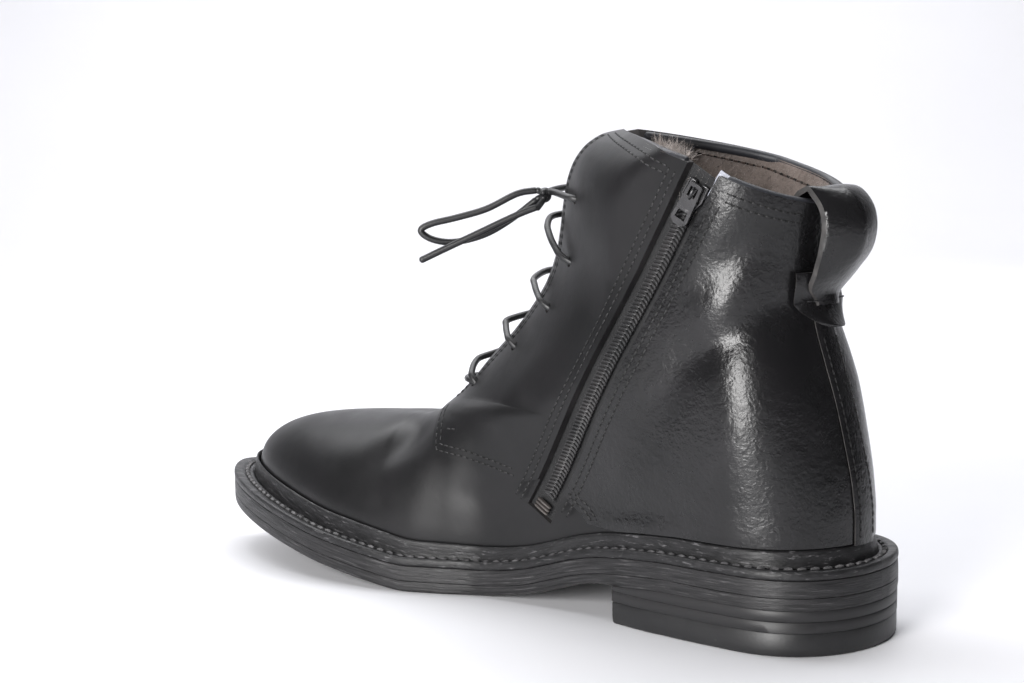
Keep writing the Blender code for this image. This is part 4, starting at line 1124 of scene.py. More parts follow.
def build_lace(skin):
    lift = CLEAR + OVERLAY + CLEAR + 0.5 * LACE
    rows = eyelets(skin)
    parts = []

    def over(start, end, rise, shift=0.0):
        route = [skin.at(start[0], -start[1] + 1.0, -3.5)[0], skin.at(start[0], -start[1], 0.4)[0]]
        for share in np.linspace(0.08, 0.92, 11):
            row = start[0] + (end[0] - start[0]) * share
            aside = -start[1] + (start[1] + end[1]) * share
            route.append(skin.at(row, aside, lift + rise * math.sin(math.pi * share))[0])
        route += [skin.at(end[0], end[1], 0.4)[0], skin.at(end[0], end[1] - 1.0, -3.5)[0]]
        return through(route, 6)

    for n in range(1, len(rows)):
        parts.append(cord_mesh(f"run_{n}", over(rows[n], rows[n - 1], RUN_RISE[n - 1]), 0.5 * LACE, [lace])[0])
    parts.append(cord_mesh("run_0", over(rows[0], rows[0], 0.2), 0.5 * LACE, [lace])[0])
    top = skin.at(rows[-1][0] - KNOT_BELOW, KNOT_ASIDE, lift + KNOT)[0]
    row, setback = rows[-1]
    for side in (1, -1):
        route = [skin.at(row, side * (setback - 1.0), -3.5)[0], skin.at(row, side * setback, 0.4)[0]]
        route.append(skin.at(row, side * (setback - 3.0), lift + 0.3)[0])
        if side < 0:
            route += [skin.at(row - 0.1, side * d, lift + 0.6)[0] for d in (14.0, 7.0, 1.0)]
        route.append(0.5 * (skin.at(row, KNOT_ASIDE + side * 3.0, lift + 1.5)[0] + top))
        route.append(top)
        parts.append(cord_mesh(f"top_{side}", through(route, 6), 0.5 * LACE, [lace])[0])
    runs = join("lace_runs", parts)
    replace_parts(runs, "lace_bars")
    along, aside = math.cos(BOW_TURN), math.sin(BOW_TURN)
    place = lambda a, b, c=0.0: top + (a * along - c * aside, a * aside + c * along, b)
    wraps = []
    for turn_, size in ((0.0, 1.7), (1.1, 1.6), (2.2, 1.5)):
        ring = []
        for k in range(25):
            t = 2 * math.pi * k / 24
            ring.append(place(1.4 * math.cos(t) * math.cos(turn_) + 0.9, size * math.sin(t) - 0.6, 1.7 * math.cos(t) * math.sin(turn_ + 0.5)))
        wraps.append(cord_mesh(f"wrap_{turn_}", ring, 0.46 * LACE, [lace])[0])
    for k, ends in enumerate((BOW_LOOP[0], BOW_LOOP[-1], (*BOW_END[0], BOW_END_ASIDE))):
        c = ends[2] if len(ends) > 2 else 0.0
        leg = through([place(0.2, -0.4), place(0.55 * ends[0], 0.55 * ends[1] - 0.2, 0.5 * c), place(LEG_REACH * ends[0], LEG_REACH * ends[1], c)], 8)
        wraps.append(cord_mesh(f"leg_{k}", leg, 0.48 * LACE, [lace])[0])
    knot = join("lace_knot_wraps", wraps)
    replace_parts(knot, "lace_knot")
    for name, node, far, route, c in (
        ("lace_bow_loop", "lace_loop", "object", BOW_LOOP, 0.0),
        ("lace_bow_tail", "lace_end", "bare", BOW_END, BOW_END_ASIDE),
    ):
        points = through([place(a, b, c) for a, b in route], 8)
        piece, line = cord_mesh(name, points, 0.5 * LACE, [lace], step=0.35)
        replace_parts(piece, node)
        line = (line - (ORIGIN_X, 0, 0)) * MM
        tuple(line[0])


def tree(points, faces):
    return BVHTree.FromPolygons([Vector(p) for p in points], faces)


def sheet_tree(grid):
    rows, columns = grid.shape[:2]
    faces = [(i * columns + k, (i + 1) * columns + k, (i + 1) * columns + k + 1, i * columns + k + 1)
             for i in range(rows - 1) for k in range(columns - 1)]
    return tree(grid.reshape(-1, 3), faces)


def onto(bvh, x, z, side, lift=0.0):
    """The point of a sheet that a side view shows at x and z, and its outward direction."""
    hit, normal, _, _ = bvh.ray_cast(Vector((x, side * 150.0, z)), Vector((0, -side, 0)))
    if hit is None:
        return None
    normal = np.array(normal)
    normal = normal if normal[1] * side > 0 else -normal
    return np.array(hit) + lift * normal, normal


def side_line(bvh, outline, side, lift=0.0, step=1.0):
    """A line drawn in side view, laid on a sheet."""
    outline = np.asarray(outline, float)
    walked = np.concatenate([[0.0], np.cumsum(np.linalg.norm(np.diff(outline, axis=0), axis=1))])
    at = np.arange(0.0, walked[-1] + 1e-6, step)
    found = [onto(bvh, np.interp(a, walked, outline[:, 0]), np.interp(a, walked, outline[:, 1]), side, lift) for a in at]
    found = [f for f in found if f is not None]
    return np.array([f[0] for f in found]), np.array([f[1] for f in found])


def offset_line(outline, distance):
    """A line in side view moved to its left by a distance."""
    outline = np.asarray(outline, float)
    run = np.gradient(outline, axis=0)
    run = run / np.linalg.norm(run, axis=1, keepdims=True)
    return outline + distance * np.stack([-run[:, 1], run[:, 0]], axis=1)


def build_leather(skin):
    grid, normals = skin.grid, skin.normals
    upper = shell("upper_leather", grid, grid - WALL * normals, [vamp_leather, fleece, leather_edge])
    outward(upper)
    throat = prism("cut_throat", throat_outline(), THROAT_CENTRE - 0.5 * THROAT_GAP, THROAT_CENTRE + 0.5 * THROAT_GAP)
    slot = prism("cut_zip_slot", zip_band(-0.002, 1.3, 0.5 * ZIP_SLOT), 5.0, 80.0)
    holes = hole_cutters(skin)
    cut(upper, [throat, slot, holes])
    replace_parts(upper, "upper")
    low, high = 0.05, CLEAR + OVERLAY
    first = TOE_ROWS - 4
    panels = (
        ("front_quarter", "quarter_front", slice(first, None), slice(0, HALF + 1), quarter_front_outline(), 1, front_leather),
        ("rear_quarter", "quarter_rear", slice(first + 10, None), slice(0, HALF + 1), quarter_rear_outline(), 1, rear_leather),
        ("outer_quarter", "quarter_outer", slice(first, None), slice(HALF, None), quarter_outer_outline(), -1, rear_leather),
    )
    for name, node, rows, columns, outline, side, face_material in panels:
        face, out = grid[rows, columns], normals[rows, columns]
        panel = outward(shell(name, face + high * out, face + low * out, [face_material, leather_edge, leather_edge]))
        reach = (BACK_STRIP_SEAM, 90.0) if side > 0 else (-90.0, -BACK_STRIP_SEAM)
        cut(panel, [prism("keep_" + name, outline, *reach)], "INTERSECT")
        if node != "quarter_rear":
            cut(panel, [throat, holes])
        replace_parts(panel, node)
    rows = slice(TOE_ROWS + int(FAN_ROWS * 0.55), None)
    reach = int(0.30 * HALF)
    columns = slice(HALF - reach, HALF + reach + 1)
    face, out = grid[rows, columns], normals[rows, columns]
    deep = WALL + 2 * CLEAR
    tongue = outward(shell("tongue_leather", face - deep * out, face - (deep + TONGUE) * out, [front_leather, fleece, leather_edge]))
    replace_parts(tongue, "tongue")
    for obj in [o for o in bpy.data.objects if o.name.startswith(("cut_", "keep_"))]:
        bpy.data.objects.remove(obj)
    build_rim(skin)
    build_seams(skin)


def hole_cutters(skin):
    points, faces = [], []
    for row, setback in eyelets(skin):
        for side in (1, -1):
            centre, out = skin.at(row, side * setback)
            across = unit(np.cross(out, (0.0, 0.0, 1.0)))
            up = np.cross(across, out)
            start = len(points)
            for reach in (-6.0, 6.0):
                for k in range(20):
                    turn = 2 * math.pi * k / 20
                    points.append(centre + reach * out + 0.46 * EYELET * (math.cos(turn) * across + math.sin(turn) * up))
            faces += [list(range(start, start + 20)), list(range(start + 39, start + 19, -1))]
            faces += [[start + k, start + (k + 1) % 20, start + 20 + (k + 1) % 20, start + 20 + k] for k in range(20)]
    return outward(make("cut_lace_holes", points, faces, [leather_edge] * 3, [2] * len(faces), body=None))


def build_rim(skin):
    """The folded edge of the collar, open at the throat and at the zip."""
    last = skin.grid[-1] - 0.3 * skin.normals[-1] + (0, 0, -0.5)
    slot = zip_band(0.9, 1.3, 0.5 * ZIP_SLOT + 0.4)
    gap = sorted(p[0] for p in (slot[0], slot[1]))
    runs = []
    current = []
    top_front, top_back = zip_at_height(skin)
    for k, point in enumerate(last):
        open_throat = abs(point[1] - THROAT_CENTRE) < 0.5 * THROAT_GAP + 0.4 and point[0] > 80.0
        open_zip = point[1] > 5.0 and top_back < point[0] < top_front
        if open_throat or open_zip:
            if len(current) > 3:
                runs.append(current)
            current = []
        else:
            current.append(point)
    if len(current) > 3:
        runs.append(current)
    parts = [cord_mesh(f"rim_{n}", run, 1.75, [rim_leather], braid=0.0, sides=16, step=0.8)[0] for n, run in enumerate(runs)]
    join("collar_rim", parts)


def zip_at_height(skin):
    """Where the zip's slot meets the collar's edge: front and rear, along the boot."""
    last = skin.grid[-1, : HALF + 1]
    run = np.array([ZIP_TOP[0] - ZIP_FOOT[0], ZIP_TOP[1] - ZIP_FOOT[1]])
    run = run / np.linalg.norm(run)
    off = (last[:, 0] - ZIP_FOOT[0]) * run[1] - (last[:, 2] - ZIP_FOOT[1]) * run[0]
    order = np.argsort(off)
    return tuple(float(np.interp(half, off[order], last[order, 0])) for half in (0.5 * ZIP_SLOT + 0.8, -0.5 * ZIP_SLOT - 0.8))


def build_seams(skin):
    high = CLEAR + OVERLAY
    lifted = sheet_tree(skin.grid[TOE_ROWS - 6 :] + high * skin.normals[TOE_ROWS - 6 :])
    bare = sheet_tree(skin.grid)
    lines = []
    for distance in (4.2, 7.0):
        whole = [skin.below_collar(k, distance, high) for k in range(2 * HALF + 1)]
        top_front, top_back = zip_at_height(skin)
        run = []
        for point, normal in whole:
            shift = 0.63 * distance
            in_zip = point[1] > 5 and top_back + shift - 3.4 < point[0] < top_front + shift + 2.6
            in_throat = abs(point[1] - THROAT_CENTRE) < 0.5 * THROAT_GAP + 3.0 and point[0] > 80
            in_strap = point[0] < 40 and abs(point[1]) < 12.0
            if in_zip or in_throat or in_strap:
                if len(run) > 4:
                    lines.append(tuple(np.array(v) for v in zip(*run)))
                run = []
            else:
                run.append((point, normal))
        if len(run) > 4:
            lines.append(tuple(np.array(v) for v in zip(*run)))
    for side in (1, -1):
        for distance in (9.0, 11.6):
            numbers = np.linspace(skin.joined - 0.4, skin.last - 0.75, 90)
            found = [skin.at(n, side * distance + THROAT_CENTRE, high) for n in numbers]
            lines.append(tuple(np.array(v) for v in zip(*found)))
    for half in (8.6, 11.3, -8.6, -11.3):
        low = 0.0 if half > 0 else 0.05
        band_line = zip_band(low, 0.955, half)[:2]
        lines.append(side_line(lifted, band_line, 1))
    for inside in (2.0, 4.4):
        lines.append(side_line(lifted, offset_line(DERBY_EDGE, SEAM_SIDE * inside), 1))
        lines.append(side_line(lifted, offset_line(DERBY_EDGE, SEAM_SIDE * inside), -1))
        lines.append(side_line(lifted, offset_line(REAR_EDGE, inside), 1))
    bar = [(167.5, 61.0), (161.0, 61.5)]
    lines.append(side_line(lifted, bar, 1))
    lines = [line for line in lines if len(line[0]) > 3]
    stitches("upper_stitches", lines, PITCH, 2.0, 0.62, [thread, hole_dark])
    lining = []
    for distance in (5.0,):
        whole = [skin.below_collar(k, distance, -WALL - 0.05) for k in range(2, 2 * HALF - 1)]
        whole = [(p, -n) for p, n in whole if not (abs(p[1]) < 9 and p[0] > 80)]
        top_front, top_back = zip_at_height(skin)
        run = []
        for point, normal in whole:
            if point[1] > 5 and top_back - 3 < point[0] < top_front + 6:
                if len(run) > 4:
                    lining.append(tuple(np.array(v) for v in zip(*run)))
                run = []
            else:
                run.append((point, normal))
        if len(run) > 4:
            lining.append(tuple(np.array(v) for v in zip(*run)))
    stitches("lining_stitches", lining, 2.9, 2.2, 0.8, [brown_thread, hole_dark])
    build_back(skin)


def build_back(skin):
    low = float(welt_under(12.0) + WELT + lip_height(12.0)) + 0.1
    seat = CLEAR + OVERLAY + 0.2
    heights = np.linspace(low, PATCH_LOW + 3.0, 60)
    across = np.linspace(-1.0, 1.0, 17)

    def patch(name, node, rows, half_at, low_lift, high_lift, extra=lambda s, z: 0.0):
        outer = [[back_point(half_at(z) * s, z, high_lift * (1.0 - 0.25 * abs(s) ** 6) + extra(s, z)) for s in across] for z in rows]
        inner = [[back_point(half_at(z) * s, z, low_lift + extra(s, z)) for s in across] for z in rows]
        piece = outward(shell(name, np.array(outer), np.array(inner), [rear_leather, leather_edge, strap_edge]))
        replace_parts(piece, node)
        return piece

    patch("back_seam_strip", "back_strip", heights, lambda z: 0.5 * BACK_STRIP, seat, seat + STRIP)
    lines = []
    for s in (-0.68, 0.68):
        found = [back_point(0.5 * BACK_STRIP * s, z, seat + STRIP) for z in heights[2:-4]]
        lines.append((np.array(found), np.array([unit(np.array([-1.0, 0.25 * s, 0.0]))] * len(found))))
    rows = np.linspace(PATCH_LOW - 1.5, PATCH_HIGH, 40)
    reach = lambda z: 0.5 * PATCH_WIDTH * min(1.0, max(0.12, 0.10 + 1.1 * math.sqrt(max(z - PATCH_LOW + 1.5, 0.0) / 14.0)))
    curl = lambda s, z: 5.0 * max(0.0, (PATCH_LOW + 6.5 - z) / 8.0) ** 1.6 * (1.0 - 0.3 * s * s) + 0.5 * math.sin(z / 2.4 + 1.5 * s)
    patch("loop_patch_leather", "loop_patch", rows, reach, seat + STRIP + 0.2, seat + STRIP + 1.4, curl)
    found = [back_point(0.5 * PATCH_WIDTH * s * 0.8, PATCH_LOW + 9.0, seat + STRIP + 2.1) for s in np.linspace(-1, 1, 20)]
    lines.append((np.array(found), np.array([[-1.0, 0.0, 0.1]] * len(found))))
    stitches("back_stitches", lines, PITCH, 2.0, 0.62, [thread, hole_dark])
    build_strap(seat + STRIP)


def build_strap(seat):
    """The pull strap from inside the collar, out over its edge and back to the patch."""
    rim = BACK_HEIGHT
    x_rim = float(back_line(rim))
    inside = lambda z: float(back_line(z)) + WALL + 3 * CLEAR
    low = back_point(0.0, PATCH_LOW + 13.0, seat + CLEAR + 1.3)
    lower = back_point(0.0, PATCH_LOW + 7.0, seat + CLEAR + 1.6)
    route = [
        (inside(rim - 18.0), 0.0, rim - 18.0),
        (inside(rim - 10.0), 0.0, rim - 10.0),
        (inside(rim - 3.0), 0.0, rim - 3.0),
        (inside(rim), 0.0, rim + 2.2),
        (x_rim - 1.5, 0.0, rim + 4.0),
        (x_rim - LOOP_REACH * 0.55, 0.0, rim + 3.4),
        (x_rim - LOOP_REACH * 0.90, 0.0, rim - 1.5),
        (x_rim - LOOP_REACH, 0.0, rim - 8.0),
        (x_rim - LOOP_REACH * 0.86, 0.0, rim - 15.0),
        (x_rim - LOOP_REACH * 0.45, 0.0, rim - 21.5),
        (low[0], 0.0, low[2]),
        (lower[0], 0.0, lower[2]),
    ]
    line = through(route, 10)[:, [0, 2]]
    turn = unit(np.gradient(line, axis=0))
    side = np.stack([turn[:, 1], -turn[:, 0]], axis=1)
    share = np.linspace(0.0, 1.0, len(line))
    halves = 0.5 * LOOP_WIDTH * (1.0 - 0.42 * smooth((share - 0.86) / 0.14))
    across = np.linspace(-1.0, 1.0, 25)

    def loose(t):
        return float(smooth((t - 0.30) / 0.2) * smooth((0.93 - t) / 0.25))

    def sheet(off, swell):
        rows = line + off * side
        return np.array([
            [(x + LOOP_CUP * s * s + TURN_IN * max(s, 0.0) ** 1.5 * loose(t) + 0.25 * math.sin(5 * t + 2 * s), s * w, z + 0.2 * math.sin(4 * s + 7 * t))
             for s in across * (1 - swell)]
            for (x, z), w, t in zip(rows, halves, share)
        ])

    strap = outward(shell("pull_strap", sheet(LOOP_THICK, 0.012), sheet(0.0, 0.012), [rear_leather, rear_leather, strap_edge]))
    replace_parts(strap, "pull_loop")


def build_zip(skin):
    base = sheet_tree(skin.grid[TOE_ROWS - 6 :])
    run = np.array([ZIP_TOP[0] - ZIP_FOOT[0], ZIP_TOP[1] - ZIP_FOOT[1]])
    total = float(np.linalg.norm(run))
    run = run / total
    perp = np.array([run[1], -run[0]])

    def spot(along, aside, lift):
        for back in range(30):
            x = ZIP_FOOT[0] + (along - back) * run[0] + aside * perp[0]
            z = ZIP_FOOT[1] + (along - back) * run[1] + aside * perp[1]
            found = onto(base, x, z, 1, lift)
            if found:
                return found[0] + back * np.array([run[0], 0.0, run[1]]), found[1]
        return None

    def strip(name, low, high, half, top, thick, material_, node, columns=9, rows=110):
        outer, inner = [], []
        for along in np.linspace(low, high, rows):
            found = [spot(along, a, top) for a in np.linspace(-half, half, columns)]
            outer.append([f[0] for f in found])
            inner.append([f[0] - thick * f[1] for f in found])
        piece = outward(shell(name, np.array(outer), np.array(inner), [material_] * 3))
        if node:
            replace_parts(piece, node)
        return piece

    strip("zip_tape_cloth", -0.012 * total, 0.985 * total, 0.47 * ZIP_TAPE_WIDTH, -WALL - 0.1, ZIP_TAPE, tape, "zip_tape")
    end = (SLIDER_AT - 0.02) * total
    strip("zip_cord", 0.05 * total, end, 2.3, -1.1, 1.0, coil, "zip_chain", 5)
    points, faces = [], []
    for n, along in enumerate(np.arange(0.052 * total, end, 0.5 * ZIP_PITCH)):
        side = 1 if n % 2 else -1
        start = spot(along, side * 2.75, -0.75)
        stop_ = spot(along - side * 0.0 + 1.15, -side * 0.55, -0.55)
        bar(points, faces, start[0], stop_[0], start[1], 0.5, 0.52)
        bead = spot(along, side * 2.45, -0.35)
        bar(points, faces, bead[0] - 0.35 * np.array([run[0], 0, run[1]]), bead[0] + 0.45 * np.array([run[0], 0, run[1]]), bead[1], 0.3, 0.3)
    make("zip_teeth", points, faces, [coil])
    points, faces = [], []
    for n in range(3):
        along = 0.012 * total + 1.45 * n
        a, b = spot(along, -3.3, 0.1), spot(along, 3.3, 0.1)
        bar(points, faces, a[0], b[0], a[1], 0.72, 0.9)
    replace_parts(make("zip_stop_bars", points, faces, [stop_metal]), "zip_stop")
    out = np.array(HINGE_OUT)
    up = np.array(HINGE_UP)
    across = np.cross(up, out)
    centre = np.array(SLIDER_CENTRE)
    build_slider(centre, up, across, out)
    build_tape_end(spot, total)


def bar(points, faces, start, stop_, out, wide, tall):
    """A rounded bar between two points."""
    along = unit(stop_ - start)
    side = unit(np.cross(out, along))
    up = np.cross(along, side)
    length = np.linalg.norm(stop_ - start)
    base = len(points)
    for u, size in ((0.0, 0.45), (0.1, 0.9), (0.5, 1.0), (0.9, 0.9), (1.0, 0.45)):
        for k in range(8):
            turn = math.pi * (k + 0.5) / 4
            points.append(start + u * length * along + size * (wide * math.cos(turn) * side + tall * math.sin(turn) * up))
    for s in range(4):
        for k in range(8):
            a, b = base + s * 8 + k, base + s * 8 + (k + 1) % 8
            faces.append([a, b, b + 8, a + 8])
    faces.append([base + k for k in range(7, -1, -1)])
    faces.append([base + 32 + k for k in range(8)])


def slab(name, centre, frame_, outline, low, high, bevel, material_, body="boot"):
    """A flat metal piece with rounded edges: an outline, extruded outward."""
    up, across, out = frame_
    count = len(outline)
    points = [centre + a * up + b * across + h * out for h in (low, high) for a, b in outline]
    faces = [list(range(count)), list(range(2 * count - 1, count - 1, -1))]
    faces += [[k, (k + 1) % count, (k + 1) % count + count, k + count] for k in range(count)]
    obj = outward(make(name, points, faces, [material_], body=None))
    rounded = obj.modifiers.new("round", "BEVEL")
    rounded.width = bevel * MM
    rounded.segments = 3
    rounded.limit_method = "ANGLE"
    return obj


def build_slider(centre, up, across, out):
    frame_ = (up, across, out)
    half = 0.5 * SLIDER_WIDTH
    front = 0.5 * SLIDER_LENGTH
    body = [(-front, 0.6 * half), (-0.3 * front, 0.9 * half), (0.3 * front, half), (front, 0.86 * half), (front, 0.3 * half)]
    body += [(0.75 * front, 0.12 * half), (0.75 * front, -0.12 * half), (front, -0.3 * half), (front, -0.86 * half)]
    body += [(0.3 * front, -half), (-0.3 * front, -0.9 * half), (-front, -0.6 * half)]
    plate = slab("zip_slider_body", centre, frame_, body, 0.1, SLIDER_TOP, 0.35, dark_metal)
    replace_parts(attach(plate, "boot"), "zip_slider")
    rail = []
    for k, side in enumerate((1, -1)):
        edge = [(-front, side * 0.62 * half), (-0.2 * front, side * 0.96 * half), (front, side * 0.9 * half)]
        edge += [(front, side * 0.74 * half), (-0.2 * front, side * 0.78 * half), (-front, side * 0.42 * half)]
        rail.append(slab(f"zip_slider_rail_{k + 1}", centre, frame_, edge, SLIDER_TOP - 0.3, SLIDER_TOP + 0.35, 0.2, dark_metal))
        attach(rail[-1], "boot")
    arch = []
    for t in np.linspace(0.0, math.pi, 13):
        arch.append(centre + (0.9 - 2.6 * math.cos(t)) * up + (SLIDER_TOP - 0.4 + 3.0 * math.sin(t)) * out)
    bridge, _ = cord_mesh("zip_slider_bridge", arch, 0.62, [dark_metal], braid=0.0, sides=12)
    axis = centre + PULL_AXIS_UP * up + (SLIDER_TOP + 0.5 * PULL_THICK + 2 * CLEAR) * out
    arm = 0.5 * PULL_WIDTH
    outline = []
    for k in range(7):
        t = math.pi * k / 6
        outline.append((0.55 * math.sin(t) + 0.2, arm * 0.78 * math.cos(t)))
    for k in range(9):
        t = math.pi * k / 8
        outline.append((-PULL_LENGTH + 2.4 - 2.4 * math.sin(t), -arm * math.cos(t)))
    pull = slab("zip_pull_tab", axis, frame_, outline, -0.5 * PULL_THICK, 0.5 * PULL_THICK, 0.3, dark_metal)
    windows = (((-0.7, 1.5), (-4.2, 1.5), (-4.2, -1.5), (-0.7, -1.5)),
               ((-9.6, 1.7), (-12.6, 1.9), (-12.6, -1.9), (-9.6, -1.7)))
    tools = []
    for k, window in enumerate(windows):
        tools.append(slab(f"cut_window_{k + 1}", axis, frame_, window, -3.0, 3.0, 0.2, dark_metal))
    pull.modifiers.clear()
    cut(pull, tools)
    for tool in tools:
        bpy.data.objects.remove(tool)
    rounded = pull.modifiers.new("round", "BEVEL")
    rounded.width = 0.22 * MM
    rounded.segments = 2
    rounded.limit_method = "ANGLE"
    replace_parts(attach(pull, "zip_pull"), "zip_pull")


def build_tape_end(spot, total):
    """The pale end of the tape that stands out at the top of the zip."""
    outer, inner = [], []
    for along in np.linspace(0.93 * total, 1.012 * total, 9):
        row = []
        for a in np.linspace(-8.6, -4.6, 7):
            found = spot(along, a, 0.0)
            if found is None:
                continue
            row.append((found[0] - 1.2 * found[1] + 0.4 * math.sin(along) * found[1], found[1]))
        if len(row) == 7:
            outer.append([p for p, _ in row])
            inner.append([p - 0.5 * n for p, n in row])
    if len(outer) > 2:
        outward(shell("zip_tape_end", np.array(outer), np.array(inner), [pale_cloth] * 3))


def build_tufts(skin):
    """Loose wool of the lining along the collar's inner edge."""
    rng = np.random.default_rng(7)
    points, faces = [], []
    top_front, top_back = zip_at_height(skin)
    for _ in range(TUFTS):
        column = int(rng.integers(2, 2 * HALF - 2))
        distance = float(rng.uniform(1.0, 16.0)) ** 1.0
        root, out = skin.below_collar(column, distance, -WALL)
        if abs(root[1]) < 8 and root[0] > 80:
            continue
        add_fibre(points, faces, rng, root, -out, 1.6)
    for _ in range(520):
        share = float(rng.uniform(0.0, 1.0))
        root, out = skin.below_collar(int(round(HALF * (0.44 + 0.12 * share))), 0.6, -WALL + 0.2)
        add_fibre(points, faces, rng, root, unit(-0.5 * out + (0, 0, 1.0)), 4.6, 0.10)
    make("lining_wool", points, faces, [wool], sharp=180.0)


def add_fibre(points, faces, rng, root, out, length, wide=0.05):
    lean = unit(out + 0.55 * rng.normal(size=3))
    bend = 0.35 * length * rng.normal(size=3)
    side = unit(np.cross(lean, rng.normal(size=3))) * wide
    base = len(points)
    for t in (0.0, 0.35, 0.7, 1.0):
        middle = root + length * t * lean + bend * t * t
        points.append(middle + side * (1.1 - t))
        points.append(middle - side * (1.1 - t))
    faces += [[base, base + 1, base + 3, base + 2], [base + 2, base + 3, base + 5, base + 4], [base + 4, base + 5, base + 7, base + 6]]


def camera_():
    data = bpy.data.cameras.new("camera")
    data.lens = 36.0 * CAMERA_FOCAL / 1024.0
    data.sensor_width = 36.0
    data.clip_start, data.clip_end = 0.01, 20.0
    obj = bpy.data.objects.new("camera", data)
    bpy.context.scene.collection.objects.link(obj)
    ahead = Vector((math.sin(CAMERA_YAW) * math.cos(CAMERA_PITCH), -math.cos(CAMERA_YAW) * math.cos(CAMERA_PITCH), -math.sin(CAMERA_PITCH)))
    level = Vector((-math.cos(CAMERA_YAW), -math.sin(CAMERA_YAW), 0.0))
    upward = level.cross(ahead)
    c, s = math.cos(CAMERA_ROLL), math.sin(CAMERA_ROLL)
    right = c * level + s * upward
    top = c * upward - s * level
    place = Vector(CAMERA_TARGET) - CAMERA_DISTANCE * ahead + CAMERA_SHIFT[0] * right + CAMERA_SHIFT[1] * top
    matrix = Matrix((right, top, -ahead)).transposed().to_4x4()
    matrix.translation = place * MM
    obj.matrix_world = matrix
    bpy.context.scene.camera = obj


def area_light(name, place, aim, size, power, colour=(1.0, 1.0, 1.0)):
    data = bpy.data.lights.new(name, "AREA")
    data.shape = "RECTANGLE"
    data.size, data.size_y = size
    data.energy = power
    data.color = colour
    obj = bpy.data.objects.new(name, data)
    obj.location = place
    obj.rotation_euler = (Vector(aim) - Vector(place)).to_track_quat("-Z", "Y").to_euler()
    bpy.context.scene.collection.objects.link(obj)


def studio():
    world = bpy.data.worlds.new("studio")
    world.use_nodes = True
    world.node_tree.nodes["Background"].inputs["Color"].default_value = (0.93, 0.935, 0.97, 1.0)
    world.node_tree.nodes["Background"].inputs["Strength"].default_value = 0.05
    bpy.context.scene.view_settings.view_transform = "Standard"
    bpy.context.scene.world = world
    width, deep, rise = 5.0, 2.2, 1.6
    profile = [(3.0, 0.0)]
    for k in range(13):
        t = 0.5 * math.pi * k / 12
        profile.append((-deep + 0.6 - 0.6 * math.sin(t), 0.6 - 0.6 * math.cos(t)))
    profile.append((-deep, rise + 2.0))
    mesh = bpy.data.meshes.new("floor")
    away = Vector((-math.sin(CAMERA_YAW), math.cos(CAMERA_YAW), 0.0))
    side = Vector((math.cos(CAMERA_YAW), math.sin(CAMERA_YAW), 0.0))
    points = [tuple(d * away + w * side + Vector((0, 0, h))) for d, h in profile for w in (-width, width)]
    faces = [[2 * k, 2 * k + 1, 2 * k + 3, 2 * k + 2] for k in range(len(profile) - 1)]
    mesh.from_pydata(points, [], faces)
    mesh.shade_smooth()
    floor = bpy.data.objects.new("floor", mesh)
    mesh.materials.append(floor_paint)
    bpy.context.scene.collection.objects.link(floor)
    area_light("key", (-0.10, 1.30, 0.40), (0.0, 0.0, 0.09), (0.50, 0.80), 27.0, (1.0, 0.99, 0.98))
    area_light("top", (0.25, -0.35, 1.5), (0.05, 0.0, 0.05), (1.6, 1.0), 15.0, (0.97, 0.98, 1.0))
    area_light("front", (1.0, 0.15, 1.15), (0.15, 0.0, 0.07), (0.7, 0.9), 7.0, (0.97, 0.98, 1.0))
    area_light("backdrop", (0.9, -0.9, 1.9), (1.2, -1.5, 0.6), (2.5, 1.0), 34.0, (0.98, 0.98, 1.0))


def blank(name):
    made = bpy.data.materials.new(name)
    made.use_nodes = True
    return made, made.node_tree.nodes, made.node_tree.links, made.node_tree.nodes["Principled BSDF"]


